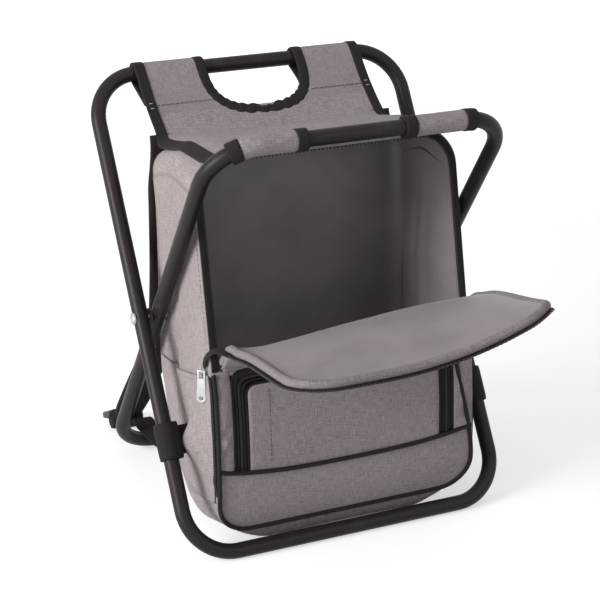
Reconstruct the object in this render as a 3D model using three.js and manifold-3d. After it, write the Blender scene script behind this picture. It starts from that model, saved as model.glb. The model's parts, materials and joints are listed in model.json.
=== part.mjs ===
// Folding cooler stool: two crossed tube frames, a cloth seat sling and a soft cooler bag.
// Millimetres. X runs across the stool, Y from front to back, Z up from the floor.
import * as THREE from 'three';
import { mergeVertices } from 'three/addons/utils/BufferGeometryUtils.js';
import Module from 'manifold-3d';

const wasm = await Module();
wasm.setup();

// Shared clearances, counts and cutting sizes
const degree = Math.PI / 180;
const quarterTurn = 90 * degree;
const fit = 0.3;
const clothFit = 0.8;
const overrun = 60;
const tubeSides = 16;
const bendSteps = 6;
const arcSteps = 5;
const cordSides = 8;

// Frame tubes and the way they stand
const tubeDiameter = 16;
const tubeWall = 1.2;
const outerHalfWidth = 178;
const legSpacing = 18.5;
const lowerLegLength = 251.5;
const upperLegLength = 258;
const openAngle = 33 * degree;
const bendRadius = 50;
const tubeJointGap = 0.4;
const tubeJointAcross = 80;
const spigotLength = 50;

// Pivot hardware
const rivetDiameter = 6;
const rivetHeadDiameter = 13;
const rivetHeadHeight = 2.4;
const rivetTailHeight = 1.6;
const spacerDiameter = 17;

// Seat sling
const seatHalfWidth = 132;
const seatThickness = 2.4;
const sleeveThickness = 1.7;
const sleeveStitchDrop = 44;
const seatFoldReach = 64;
const seatFoldHeight = 385;
const bindingWidth = 11.5;
const handHalfWidth = 53;
const handDepth = 50;
const handCornerRadius = 38;
const frontSleeveInner = 52;
const frontSleeveOuter = 130;
const frontSleeveShift = -10.5;
const seatCornerInset = 102;
const seatCornerRelief = 7.5;

// Bag outside
const bagHalfWidth = 146;
const bagFloorGap = 13;
const bagTopHeight = 403;
const bagTopFrontReach = 57;
const bagTopRearReach = 58;
const bagTopRearHeight = 378;
const bagBackReach = 45;
const sillReach = 109;
const sillHeight = 197;
const pocketReach = 126;
const bagTopRadius = 34;
const bagBottomRadius = 36;
const bagRearRadius = 34;
const bagWall = 2;
const linerThickness = 4.5;
const partitionReach = 98;

// Main opening, flap and zip
const openingHalfWidth = 134;
const openingTopGap = 13;
const openingRadius = 36;
const zipTapeWidth = 6;
const flapHalfWidth = 140;
const flapLength = 202;
const flapThickness = 6;
const flapRadius = 42;
const flapRestAngle = 21 * degree;
const flapLinerThickness = 2.6;
const flapTapeThickness = 1.2;

// Front pocket
const doorHalfWidth = 112;
const doorBottom = 89;
const doorSillGap = 14;
const pocketTapeWidth = 14;
const pocketTapeRise = 8;
const pipingDiameter = 4.6;
const pipingInset = 3;

// Zip sliders and pull tabs
const sliderWidth = 8;
const sliderLength = 12;
const sliderThickness = 3;
const sliderCornerRadius = 2;
const bridgeWidth = 2.4;
const bridgeHeight = 3.6;
const bridgeThickness = 1.1;
const pullWidth = 8;
const pullLength = 29;
const pullThickness = 1.3;
const pullEyeLength = 7;
const pullBar = 1.5;
const pocketPullLength = 18;
const sliderLift = 2;

// Side pockets, leg wraps and shoulder straps
const sidePocketThickness = 1.8;
const sidePocketInset = 9;
const sidePocketRearHeight = 160;
const sidePocketFrontHeight = 190;
const wrapHeight = 110;
const wrapLength = 38;
const wrapArmThickness = 3;
const strapAcross = 130.5;
const strapWidth = 40;
const strapThickness = 7;
const webbingWidth = 25;
const webbingThickness = 1.8;
const adjusterLength = 30;
const adjusterThickness = 7;
const adjusterTilt = 22 * degree;
const strapReach = 196;
const strapTop = 354;

// Sizes that follow from the driving ones
const tubeRadius = tubeDiameter / 2;
const tubeCornerRadius = tubeRadius / Math.cos(Math.PI / tubeSides);
const innerHalfWidth = outerHalfWidth - legSpacing;
const pivotHeight = tubeRadius + lowerLegLength * Math.cos(openAngle);
const rearBarReach = upperLegLength * Math.sin(openAngle);
const topBarHeight = pivotHeight + upperLegLength * Math.cos(openAngle);
const sleeveInnerRadius = tubeRadius + clothFit;
const sleeveOuterRadius = sleeveInnerRadius + sleeveThickness;
const sleeveCornerRadius = sleeveOuterRadius / Math.cos(Math.PI / tubeSides);
const frontLean = Math.atan2(sillReach - bagTopFrontReach, bagTopHeight - sillHeight);
const pipingRadius = pipingDiameter / 2;
const doorTop = sillHeight - doorSillGap;
const sliderReach = sillReach - sliderLength;

// Finishes
const darkTube = { color: 0x2b2624, roughness: 0.38, metalness: 0.55 };
const greyCloth = { color: 0x9b9290, roughness: 0.92, metalness: 0 };
const darkCloth = { color: 0x272221, roughness: 0.85, metalness: 0 };
const lining = { color: 0x8d8586, roughness: 0.5, metalness: 0 };
const zipMetal = { color: 0xe6e6e4, roughness: 0.3, metalness: 0.6 };
const steel = { color: 0xb9b7b4, roughness: 0.3, metalness: 0.9 };
const darkPlastic = { color: 0x1d1b1a, roughness: 0.5, metalness: 0 };

const stool = new THREE.Group();

function addPiece(group, name, geometry, finish) {
  const piece = new THREE.Mesh(geometry, new THREE.MeshStandardMaterial(finish));
  piece.name = name;
  group.add(piece);
  return piece;
}

// Joining and cutting of closed meshes
function toSolid(geometry) {
  const bare = geometry.clone();
  bare.deleteAttribute('normal');
  bare.deleteAttribute('uv');
  const merged = mergeVertices(bare);
  return new wasm.Manifold(new wasm.Mesh({
    numProp: 3,
    vertProperties: merged.attributes.position.array,
    triVerts: merged.index.array,
  }));
}

function toGeometry(solid) {
  const mesh = solid.getMesh();
  const geometry = new THREE.BufferGeometry();
  geometry.setAttribute('position', new THREE.BufferAttribute(new Float32Array(mesh.vertProperties), 3));
  geometry.setIndex(new THREE.BufferAttribute(new Uint32Array(mesh.triVerts), 1));
  geometry.computeVertexNormals();
  return geometry;
}

// Outlines: lists of [first, second] coordinates, run anticlockwise
function toShape(outline) {
  return new THREE.Shape(outline.map(([first, second]) => new THREE.Vector2(first, second)));
}

function edgeNormal(from, to) {
  const length = Math.hypot(to[0] - from[0], to[1] - from[1]);
  return [(to[1] - from[1]) / length, (from[0] - to[0]) / length];
}

function mitred(point, before, after, distance) {
  const scale = distance / (1 + before[0] * after[0] + before[1] * after[1]);
  return [point[0] + (before[0] + after[0]) * scale, point[1] + (before[1] + after[1]) * scale];
}

function grown(outline, distance) {
  const count = outline.length;
  return outline.map((point, index) => {
    const before = edgeNormal(outline[(index + count - 1) % count], point);
    const after = edgeNormal(point, outline[(index + 1) % count]);
    return mitred(point, before, after, distance);
  });
}

// A strip of even thickness along an open line
function strip(line, thickness) {
  const side = (distance) => line.map((point, index) => {
    const before = edgeNormal(line[Math.max(index - 1, 0)], line[Math.max(index, 1)]);
    const last = line.length - 1;
    const after = edgeNormal(line[Math.min(index, last - 1)], line[Math.min(index + 1, last)]);
    return mitred(point, before, after, distance);
  });
  return [...side(thickness / 2), ...side(-thickness / 2).reverse()];
}

function arcPoints(centre, radius, from, to, steps) {
  const points = [];
  for (let step = 0; step <= steps; step += 1) {
    const angle = from + (to - from) * step / steps;
    points.push([centre[0] + radius * Math.cos(angle), centre[1] + radius * Math.sin(angle)]);
  }
  return points;
}

// A rectangle with its own radius at the low and the high corners
function roundedBox(halfWidth, low, high, lowRadius, highRadius) {
  return [
    ...arcPoints([halfWidth - lowRadius, low + lowRadius], lowRadius, -quarterTurn, 0, arcSteps),
    ...arcPoints([halfWidth - highRadius, high - highRadius], highRadius, 0, quarterTurn, arcSteps),
    ...arcPoints([highRadius - halfWidth, high - highRadius], highRadius, quarterTurn, Math.PI, arcSteps),
    ...arcPoints([lowRadius - halfWidth, low + lowRadius], lowRadius, Math.PI, 3 * quarterTurn, arcSteps),
  ];
}

function rectangle(left, right, low, high) {
  return [[left, low], [right, low], [right, high], [left, high]];
}

// Solids that run along one axis
function extruded(shape, depth) {
  return new THREE.ExtrudeGeometry(shape, { depth, bevelEnabled: false, curveSegments: arcSteps });
}

function acrossX(outline, end, otherEnd) {
  const from = Math.min(end, otherEnd);
  const basis = new THREE.Matrix4().makeBasis(
    new THREE.Vector3(0, 1, 0),
    new THREE.Vector3(0, 0, 1),
    new THREE.Vector3(1, 0, 0),
  );
  basis.setPosition(from, 0, 0);
  const shape = Array.isArray(outline) ? toShape(outline) : outline;
  return toSolid(extruded(shape, Math.abs(otherEnd - end)).applyMatrix4(basis));
}

function alongY(outline, from, to) {
  const basis = new THREE.Matrix4().makeBasis(
    new THREE.Vector3(1, 0, 0),
    new THREE.Vector3(0, 0, 1),
    new THREE.Vector3(0, -1, 0),
  );
  basis.setPosition(0, to, 0);
  return toSolid(extruded(toShape(outline), to - from).applyMatrix4(basis));
}

function upZ(outline, from, to) {
  return toSolid(extruded(toShape(outline), to - from).translate(0, 0, from));
}

// A path that is given by its knots, each a point with the direction of travel there
class KnotPath extends THREE.Curve {
  constructor(knots) {
    super();
    this.knots = knots;
  }

  knotAt(share) {
    return this.knots[Math.round(share * (this.knots.length - 1))];
  }

  getPoint(share) {
    return this.knotAt(share).point.clone();
  }

  getPointAt(share) {
    return this.getPoint(share);
  }

  getTangentAt(share) {
    return this.knotAt(share).direction.clone();
  }
}

function swept(shape, knots) {
  return new THREE.ExtrudeGeometry(shape, { steps: knots.length - 1, extrudePath: new KnotPath(knots) });
}

function knotsThrough(points) {
  return points.map((point, index) => {
    const ahead = points[Math.min(index + 1, points.length - 1)];
    const behind = points[Math.max(index - 1, 0)];
    return { point, direction: ahead.clone().sub(behind).normalize() };
  });
}

// A regular section with flats at the given radius, one of them facing flatAngle
function sectionPoints(radius, sides, flatAngle) {
  const corner = radius / Math.cos(Math.PI / sides);
  const points = [];
  for (let side = 0; side < sides; side += 1) {
    const angle = flatAngle + (2 * side + 1) * Math.PI / sides;
    points.push(new THREE.Vector2(corner * Math.cos(angle), corner * Math.sin(angle)));
  }
  return points;
}

function ringSection(outer, inner, flatAngle) {
  const shape = new THREE.Shape(sectionPoints(outer, tubeSides, flatAngle));
  shape.holes.push(new THREE.Path(sectionPoints(inner, tubeSides, flatAngle)));
  return shape;
}

// Bench position of the knot that lies a given way along a top bar from its middle
function topBarKnot(halfWidth, along) {
  const side = Math.sign(along);
  const straight = halfWidth - bendRadius;
  const turn = Math.max(Math.abs(along) - straight, 0) / bendRadius;
  const across = Math.min(Math.abs(along), straight) + bendRadius * Math.sin(turn);
  const rise = upperLegLength - bendRadius + bendRadius * Math.cos(turn);
  return {
    point: new THREE.Vector3(side * across, rise, 0),
    direction: new THREE.Vector3(Math.cos(turn), -side * Math.sin(turn), 0),
  };
}

// One loop of tube, flat in XY about its pivot, open by a butt joint in its top bar
function loopKnots(halfWidth) {
  const knots = [];
  const bend = (across, rise, from) => {
    for (let step = 0; step <= bendSteps; step += 1) {
      const angle = from - quarterTurn * step / bendSteps;
      const reach = new THREE.Vector3(Math.cos(angle), Math.sin(angle), 0).multiplyScalar(bendRadius);
      knots.push({
        point: reach.add(new THREE.Vector3(across, rise, 0)),
        direction: new THREE.Vector3(Math.sin(angle), -Math.cos(angle), 0),
      });
    }
  };
  const straight = halfWidth - bendRadius;
  const high = upperLegLength - bendRadius;
  const low = bendRadius - lowerLegLength;
  knots.push(topBarKnot(halfWidth, tubeJointGap / 2 - tubeJointAcross));
  bend(straight, high, quarterTurn);
  bend(straight, low, 0);
  bend(-straight, low, -quarterTurn);
  bend(-straight, high, Math.PI);
  knots.push(topBarKnot(halfWidth, -tubeJointGap / 2 - tubeJointAcross));
  return knots;
}

function rodAcross(diameter, from, to) {
  const rod = new THREE.CylinderGeometry(diameter / 2, diameter / 2, to - from, tubeSides);
  return toSolid(rod.rotateZ(quarterTurn).translate((from + to) / 2, 0, 0));
}

function frameTube(halfWidth, flatAngle) {
  const section = ringSection(tubeRadius, tubeRadius - tubeWall, flatAngle);
  const loop = toSolid(swept(section, loopKnots(halfWidth)));
  const reach = halfWidth + overrun;
  return toGeometry(loop.subtract(rodAcross(rivetDiameter + 2 * fit, -reach, reach)));
}

function spigot(halfWidth, flatAngle) {
  const shape = new THREE.Shape(sectionPoints(tubeRadius - tubeWall - fit, tubeSides, flatAngle));
  const from = topBarKnot(halfWidth, -tubeJointAcross - spigotLength / 2);
  const to = topBarKnot(halfWidth, -tubeJointAcross + spigotLength / 2);
  return swept(shape, [from, to]);
}

// A cloth sleeve round a top bar, following the bar into its bend
function barSleeve(halfWidth, from, to, flatAngle) {
  const knots = [];
  const straight = halfWidth - bendRadius;
  const stops = new Set([from, to]);
  [-straight, straight].filter((stop) => stop > from && stop < to).forEach((stop) => stops.add(stop));
  if (Math.max(Math.abs(from), Math.abs(to)) > straight) {
    for (let step = 1; step < bendSteps; step += 1) {
      const stop = Math.sign(from + to) * (straight + bendRadius * quarterTurn * step / bendSteps);
      if (stop > from && stop < to) {
        stops.add(stop);
      }
    }
  }
  [...stops].sort((one, other) => one - other).forEach((stop) => knots.push(topBarKnot(halfWidth, stop)));
  return swept(ringSection(sleeveOuterRadius, sleeveInnerRadius, flatAngle), knots);
}

// Frames: each is built flat about its pivot and leant by the open angle
const outerFlat = quarterTurn - openAngle;
const innerFlat = quarterTurn + openAngle;
const outerFrame = new THREE.Group();
outerFrame.position.set(0, 0, pivotHeight);
outerFrame.rotation.set(outerFlat, 0, 0);
stool.add(outerFrame);
const innerFrame = new THREE.Group();
innerFrame.position.set(0, 0, pivotHeight);
innerFrame.rotation.set(innerFlat, 0, 0);
stool.add(innerFrame);

addPiece(outerFrame, 'outer_frame_tube', frameTube(outerHalfWidth, outerFlat), darkTube);
addPiece(outerFrame, 'outer_frame_spigot', spigot(outerHalfWidth, outerFlat), steel);
addPiece(innerFrame, 'inner_frame_tube', frameTube(innerHalfWidth, innerFlat), darkTube);
addPiece(innerFrame, 'inner_frame_spigot', spigot(innerHalfWidth, innerFlat), steel);

function onSide(geometry, side) {
  return side > 0 ? geometry : geometry.rotateZ(Math.PI);
}

const sides = [['left', -1], ['right', 1]];

// Pivot rivets and spacers
function latheAcross(profile) {
  const points = profile.map(([radius, along]) => new THREE.Vector2(radius, along));
  return new THREE.LatheGeometry(points, tubeSides).rotateZ(-quarterTurn);
}

function pivotRivet() {
  const shank = rivetDiameter / 2;
  const head = rivetHeadDiameter / 2;
  const tailTop = innerHalfWidth - tubeCornerRadius - fit;
  const headSeat = outerHalfWidth + tubeCornerRadius + fit;
  const dome = arcPoints([0, 0], 1, 0, quarterTurn, arcSteps);
  return latheAcross([
    [0, tailTop - rivetTailHeight],
    [head - rivetTailHeight / 2, tailTop - rivetTailHeight],
    [head, tailTop],
    [shank, tailTop],
    [shank, headSeat],
    ...dome.slice(0, -1).map(([across, up]) => [head * across, headSeat + rivetHeadHeight * up]),
    [0, headSeat + rivetHeadHeight],
  ]);
}

function pivotSpacer() {
  const bore = rivetDiameter / 2 + fit;
  const from = innerHalfWidth + tubeCornerRadius + fit;
  const to = outerHalfWidth - tubeCornerRadius - fit;
  return latheAcross([
    [bore, from],
    [spacerDiameter / 2, from],
    [spacerDiameter / 2, to],
    [bore, to],
    [bore, from],
  ]);
}

const pivot = new THREE.Group();
pivot.position.set(0, 0, pivotHeight);
stool.add(pivot);
for (const [label, side] of sides) {
  addPiece(pivot, `pivot_rivet_${label}`, onSide(pivotRivet(), side), steel);
  addPiece(pivot, `pivot_spacer_${label}`, onSide(pivotSpacer(), side), darkPlastic);
}

// Front sleeves of the seat, carried by the inner frame
for (const [label, side] of sides) {
  const sleeve = (name, from, to, finish) => {
    const ends = [side * from, side * to].map((end) => end + frontSleeveShift);
    ends.sort((one, other) => one - other);
    const geometry = barSleeve(innerHalfWidth, ends[0], ends[1], innerFlat);
    addPiece(innerFrame, `${name}_${label}`, geometry, finish);
  };
  const inner = frontSleeveInner + bindingWidth;
  const outer = frontSleeveOuter - bindingWidth;
  sleeve('front_sleeve', inner + fit, outer - fit, greyCloth);
  sleeve('front_sleeve_inner_binding', frontSleeveInner, inner, darkCloth);
  sleeve('front_sleeve_outer_binding', outer, frontSleeveOuter, darkCloth);
}

// Bag outline seen from the side, as [to the back, up], run anticlockwise from the sill
const toeShares = [[0.93, 0.85], [0.976, 0.61], [1, 0.36], [0.968, 0.2], [0.86, 0.05], [0.71, 0]];
const rearShares = [[-1.1, 0], [-0.62, 0.025], [-0.13, 0.074], [0.18, 0.148], [0.6, 0.285]];
const backShares = [[0.89, 0.405], [0.98, 0.58], [1, 0.73], [1.1, 0.9]];
const topShares = [[0.36, 0.6], [-0.1, 0.88]];
const pocketRise = sillHeight - bagFloorGap;
const rearRise = bagTopRearHeight - bagFloorGap;
const topRise = bagTopHeight - bagTopRearHeight;
const heelAndBackShares = [...rearShares, ...backShares];
const bagOutline = [
  [-sillReach, sillHeight],
  ...toeShares.map(([back, up]) => [-pocketReach * back, bagFloorGap + pocketRise * up]),
  ...heelAndBackShares.map(([back, up]) => [bagBackReach * back, bagFloorGap + rearRise * up]),
  [bagTopRearReach, bagTopRearHeight],
  ...topShares.map(([back, up]) => [bagTopRearReach * back, bagTopRearHeight + topRise * up]),
  [-bagTopFrontReach, bagTopHeight],
];

// The whole bag as one solid, drawn in on all sides by an inset
function bagBody(inset) {
  const halfWidth = bagHalfWidth - inset;
  const reach = pocketReach + overrun;
  const side = acrossX(grown(bagOutline, -inset), -halfWidth, halfWidth);
  const face = roundedBox(
    halfWidth,
    bagFloorGap + inset,
    bagTopHeight - inset,
    bagBottomRadius - inset,
    bagTopRadius - inset,
  );
  const plan = roundedBox(halfWidth, -reach, bagTopRearReach - inset, overrun / 2, bagRearRadius - inset);
  return side.intersect(alongY(face, -reach, reach)).intersect(upZ(plan, 0, bagTopHeight + overrun));
}

// Seat sling: sleeves on the rear bar, down to the bag, then up to the front bar
function seatSling(from, to) {
  const bar = [rearBarReach, topBarHeight];
  const fold = [seatFoldReach, seatFoldHeight];
  const slope = Math.atan2(fold[1] - bar[1], fold[0] - bar[0]);
  const down = [Math.cos(slope), Math.sin(slope)];
  const stitch = [bar[0] + sleeveStitchDrop * down[0], bar[1] + sleeveStitchDrop * down[1]];
  const open = Math.acos(sleeveOuterRadius / sleeveStitchDrop);
  const drop = arcPoints(bar, sleeveOuterRadius, slope + open, slope + 2 * Math.PI - open, tubeSides);
  const half = seatThickness / 2;
  const sleeve = toShape([
    ...drop,
    [stitch[0] + half * down[1], stitch[1] - half * down[0]],
    [stitch[0] - half * down[1], stitch[1] + half * down[0]],
  ]);
  const bore = sectionPoints(sleeveInnerRadius, tubeSides, 0);
  sleeve.holes.push(new THREE.Path(bore.map((point) => point.add(new THREE.Vector2(bar[0], bar[1])))));
  const reach = upperLegLength - sleeveCornerRadius - half - fit;
  const bed = grown(bagOutline, half + clothFit).slice(-topShares.length - 1);
  const frontEnd = [-reach * Math.sin(openAngle), pivotHeight + reach * Math.cos(openAngle)];
  const line = [stitch, fold, ...bed, frontEnd];
  return acrossX(sleeve, from, to).add(acrossX(strip(line, seatThickness), from, to));
}

// The hand opening seen from above, grown by a margin
function handCut(margin) {
  const halfWidth = handHalfWidth + margin;
  const low = rearBarReach - handDepth - margin;
  const high = rearBarReach + overrun;
  const outline = roundedBox(halfWidth, low, high, handCornerRadius + margin, handCornerRadius);
  return upZ(outline, bagTopRearHeight - overrun, topBarHeight + overrun);
}

// Room at the seat's front corners for the bends of the inner frame
function cornerRoom(side) {
  const level = upperLegLength - sleeveCornerRadius - seatCornerRelief;
  const outline = rectangle(level, level + overrun, -overrun, overrun);
  return acrossX(outline, side * seatCornerInset, side * (seatHalfWidth + overrun))
    .rotate([innerFlat / degree, 0, 0])
    .translate([0, 0, pivotHeight]);
}

function trimmedSling(from, to) {
  return seatSling(from, to).subtract(cornerRoom(1)).subtract(cornerRoom(-1));
}

const slingEdge = seatHalfWidth - bindingWidth;
const seatCloth = trimmedSling(-slingEdge + fit, slingEdge - fit).subtract(handCut(bindingWidth + fit));
addPiece(stool, 'seat_sling', toGeometry(seatCloth), greyCloth);
const handBand = handCut(bindingWidth).subtract(handCut(0));
const handBinding = trimmedSling(-slingEdge, slingEdge).intersect(handBand);
addPiece(stool, 'hand_opening_binding', toGeometry(handBinding), darkCloth);
for (const [label, side] of sides) {
  const binding = trimmedSling(side * slingEdge, side * seatHalfWidth);
  addPiece(stool, `seat_edge_binding_${label}`, toGeometry(binding), darkCloth);
}

// Bag panels: the shell is cut at the sides and along rays from the middle to its corners
const bagShell = bagBody(0).subtract(bagBody(bagWall));
const panelEdge = bagHalfWidth - bagWall;
const middle = [(bagBackReach - pocketReach) / 2, sillHeight];
const cornerOf = (index) => bagOutline[(index + bagOutline.length) % bagOutline.length];
const sill = cornerOf(0);
const toe = cornerOf(toeShares.length - 1);
const heel = cornerOf(toeShares.length + 2);
const topRear = cornerOf(-topShares.length - 2);
const topFront = cornerOf(-1);

function sector(from, to) {
  const length = Math.hypot(to[0] - from[0], to[1] - from[1]);
  const shift = [(to[0] - from[0]) * fit / 2 / length, (to[1] - from[1]) * fit / 2 / length];
  const start = [from[0] + shift[0], from[1] + shift[1]];
  const end = [to[0] - shift[0], to[1] - shift[1]];
  const far = (point) => [2 * point[0] - middle[0], 2 * point[1] - middle[1]];
  return acrossX([middle, far(start), far(end)], -panelEdge + fit / 2, panelEdge - fit / 2);
}

function wallBetween(from, to) {
  return bagShell.intersect(sector(from, to));
}

addPiece(stool, 'bag_top', toGeometry(wallBetween(topRear, topFront)), greyCloth);
addPiece(stool, 'bag_back', toGeometry(wallBetween(heel, topRear)), greyCloth);
addPiece(stool, 'bag_base', toGeometry(wallBetween(toe, heel)), greyCloth);
for (const [label, side] of sides) {
  const reach = pocketReach + overrun;
  const face = rectangle(-reach, reach, 0, bagTopHeight + overrun);
  const slab = acrossX(face, side * (panelEdge + fit / 2), side * (bagHalfWidth + overrun));
  addPiece(stool, `bag_side_${label}`, toGeometry(bagShell.intersect(slab)), greyCloth);
}

// Arched front opening with the fixed half of the zip on its edge
function openingCut(inset, low) {
  const arch = roundedBox(
    openingHalfWidth - inset,
    low,
    bagTopHeight - openingTopGap - inset,
    fit,
    openingRadius - inset,
  );
  return alongY(arch, -pocketReach - overrun, 0);
}

const frontWall = wallBetween(topFront, sill);
const belowSill = sillHeight - overrun;
addPiece(stool, 'front_border', toGeometry(frontWall.subtract(openingCut(0, belowSill))), greyCloth);
const mainTapeBand = openingCut(fit, belowSill).subtract(openingCut(zipTapeWidth, belowSill));
addPiece(stool, 'main_zip_tape', toGeometry(frontWall.intersect(mainTapeBand)), darkCloth);

// Cooler liner, and the partition that parts it from the front pocket
function behindPartition(inset) {
  const wall = bagWall / 2 + fit + inset - partitionReach;
  const reach = pocketReach + overrun;
  const step = sillHeight + inset;
  return acrossX([
    [wall, 0],
    [reach, 0],
    [reach, bagTopHeight + overrun],
    [-reach, bagTopHeight + overrun],
    [-reach, step],
    [wall, step],
  ], -bagHalfWidth, bagHalfWidth);
}

const linerRoom = bagBody(bagWall + fit + linerThickness).intersect(behindPartition(linerThickness));
const coolerLiner = bagBody(bagWall + fit)
  .intersect(behindPartition(0))
  .subtract(linerRoom)
  .subtract(openingCut(zipTapeWidth, sillHeight + linerThickness));
addPiece(stool, 'cooler_liner', toGeometry(coolerLiner), lining);

const partitionOutline = [
  [-partitionReach - bagWall / 2, 0],
  [-partitionReach + bagWall / 2, 0],
  [-partitionReach + bagWall / 2, sillHeight - fit],
  [-pocketReach, sillHeight - fit],
  [-pocketReach, sillHeight - fit - bagWall],
  [-partitionReach - bagWall / 2, sillHeight - fit - bagWall],
];
const partitionSlab = acrossX(partitionOutline, -bagHalfWidth, bagHalfWidth);
addPiece(stool, 'pocket_partition', toGeometry(partitionSlab.intersect(bagBody(bagWall + fit))), lining);

// Front pocket: lower panel, surround, zip tape and the door panel that folds down
const pocketWall = wallBetween(sill, toe);
const pocketReachAll = pocketReach + overrun;
const tapeEdge = doorHalfWidth + pocketTapeWidth;
const tapeTop = doorTop + pocketTapeRise;

function pocketCut(halfWidth, high) {
  return alongY(rectangle(-halfWidth, halfWidth, doorBottom, high), -pocketReachAll, 0);
}

const lowerCut = alongY(rectangle(-bagHalfWidth, bagHalfWidth, 0, doorBottom - fit), -pocketReachAll, 0);
addPiece(stool, 'pocket_lower_panel', toGeometry(pocketWall.intersect(lowerCut)), greyCloth);
const upperWall = pocketWall.intersect(pocketCut(bagHalfWidth, bagTopHeight));
const surround = upperWall.subtract(pocketCut(tapeEdge + fit, tapeTop + fit));
addPiece(stool, 'pocket_surround', toGeometry(surround), greyCloth);
const doorRoom = pocketCut(doorHalfWidth + fit, doorTop + fit);
const pocketTapeBand = pocketCut(tapeEdge, tapeTop).subtract(doorRoom);
addPiece(stool, 'pocket_zip_tape', toGeometry(upperWall.intersect(pocketTapeBand)), darkCloth);
const door = upperWall.intersect(pocketCut(doorHalfWidth, doorTop));
addPiece(stool, 'pocket_door', toGeometry(door), greyCloth);

// Piping in front of the bag's face: round its edge, and across under the pocket door
function faceAt(height, offset) {
  const line = grown(bagOutline, offset).slice(0, toeShares.length + 1);
  const index = line.findIndex((point) => point[1] <= height);
  const [above, below] = [line[index - 1], line[index]];
  return above[0] + (below[0] - above[0]) * (above[1] - height) / (above[1] - below[1]);
}

function pipingKnots(places) {
  const offset = pipingRadius + fit;
  return knotsThrough(places.map(([across, up]) => new THREE.Vector3(across, faceAt(up, offset), up)));
}

const pipingShape = new THREE.Shape(sectionPoints(pipingRadius, cordSides, 0));
const pipingHalfWidth = bagHalfWidth - pipingInset;
const pipingLow = bagFloorGap + pipingInset;
const pipingCorner = bagBottomRadius - pipingInset;
const pipingTop = sillHeight - pipingDiameter * 2;
const pipingHeights = grown(bagOutline, pipingRadius + fit)
  .slice(0, toeShares.length)
  .map((point) => point[1])
  .filter((up) => up < pipingTop && up > pipingLow + pipingCorner);
const pipingSide = [pipingTop, ...pipingHeights].map((up) => [pipingHalfWidth, up]);
const cornerCentre = [pipingHalfWidth - pipingCorner, pipingLow + pipingCorner];
const pipingBend = arcPoints(cornerCentre, pipingCorner, 0, -quarterTurn, arcSteps + 1);
const rightPiping = [...pipingSide, ...pipingBend];
const leftPiping = rightPiping.map(([across, up]) => [-across, up]).reverse();
const frontPiping = swept(pipingShape, pipingKnots([...rightPiping, ...leftPiping]));
addPiece(stool, 'front_piping', frontPiping, darkCloth);
const hemHeight = doorBottom - pipingDiameter + fit;
const hemHalfWidth = pipingHalfWidth - pipingDiameter;
const hemPlaces = [[-hemHalfWidth, hemHeight], [hemHalfWidth, hemHeight]];
addPiece(stool, 'pocket_hem_piping', swept(pipingShape, pipingKnots(hemPlaces)), darkCloth);

// Flap, hinged along the sill and leaning out at its rest angle
const flapGap = flapThickness / 2 + clothFit;
const flapRise = flapThickness / 2;
const flap = new THREE.Group();
flap.position.set(
  0,
  -sillReach + flapRise * Math.sin(frontLean) - flapGap * Math.cos(frontLean),
  sillHeight + flapRise * Math.cos(frontLean) + flapGap * Math.sin(frontLean),
);
flap.rotation.set(-flapRestAngle, 0, 0);
stool.add(flap);

function flapSlice(halfWidth, length, radius, low, high) {
  return upZ(roundedBox(halfWidth, -length, flapThickness, radius, flapThickness / 2), low, high);
}

const flapRoot = arcPoints([0, 0], flapThickness / 2, -quarterTurn, quarterTurn, arcSteps);
const flapSide = [...flapRoot, [-flapLength, flapThickness / 2], [-flapLength, -flapThickness / 2]];
const flapShell = acrossX(flapSide, -flapHalfWidth, flapHalfWidth)
  .intersect(flapSlice(flapHalfWidth, flapLength, flapRadius, -flapThickness, flapThickness));
addPiece(flap, 'flap_shell', toGeometry(flapShell), greyCloth);
const linerInset = flapHalfWidth - openingHalfWidth + zipTapeWidth + 2 * bagWall;
const linerLow = flapThickness / 2 + fit;
const behindRoot = acrossX(
  rectangle(-flapLength, -flapThickness, 0, overrun),
  -flapHalfWidth,
  flapHalfWidth,
);
const flapLiner = flapSlice(
  flapHalfWidth - linerInset,
  flapLength - linerInset,
  flapRadius - linerInset,
  linerLow,
  linerLow + flapLinerThickness,
).intersect(behindRoot);
addPiece(flap, 'flap_liner', toGeometry(flapLiner), lining);
const rim = (margin) => flapSlice(
  flapHalfWidth + margin,
  flapLength + margin,
  flapRadius + margin,
  -flapTapeThickness,
  flapTapeThickness,
);
const beforeRoot = acrossX(
  rectangle(-flapLength - overrun, 0, -overrun, overrun),
  -bagHalfWidth,
  bagHalfWidth,
);
const flapTape = rim(fit + flapTapeThickness).subtract(rim(fit)).intersect(beforeRoot);
addPiece(flap, 'flap_zip_tape', toGeometry(flapTape), darkCloth);

// Zip slider and pull tab: X across the zip, Y along it, Z out from the cloth
const bridgeRoom = bridgeHeight - bridgeThickness;
const bridgeHalf = sliderLength / 2 - bridgeThickness;

function sliderBody() {
  const outline = roundedBox(
    sliderWidth / 2,
    -sliderLength / 2,
    sliderLength / 2,
    sliderCornerRadius,
    sliderCornerRadius,
  );
  const plate = upZ(outline, 0, sliderThickness);
  const top = sliderThickness + bridgeHeight;
  const side = rectangle(-bridgeHalf, bridgeHalf, sliderThickness / 2, top);
  const staple = acrossX(side, -bridgeWidth / 2, bridgeWidth / 2);
  const inside = bridgeHalf - bridgeThickness;
  const hole = acrossX(
    rectangle(-inside, inside, sliderThickness, sliderThickness + bridgeRoom),
    -bridgeWidth,
    bridgeWidth,
  );
  return toGeometry(plate.add(staple.subtract(hole)));
}

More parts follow.
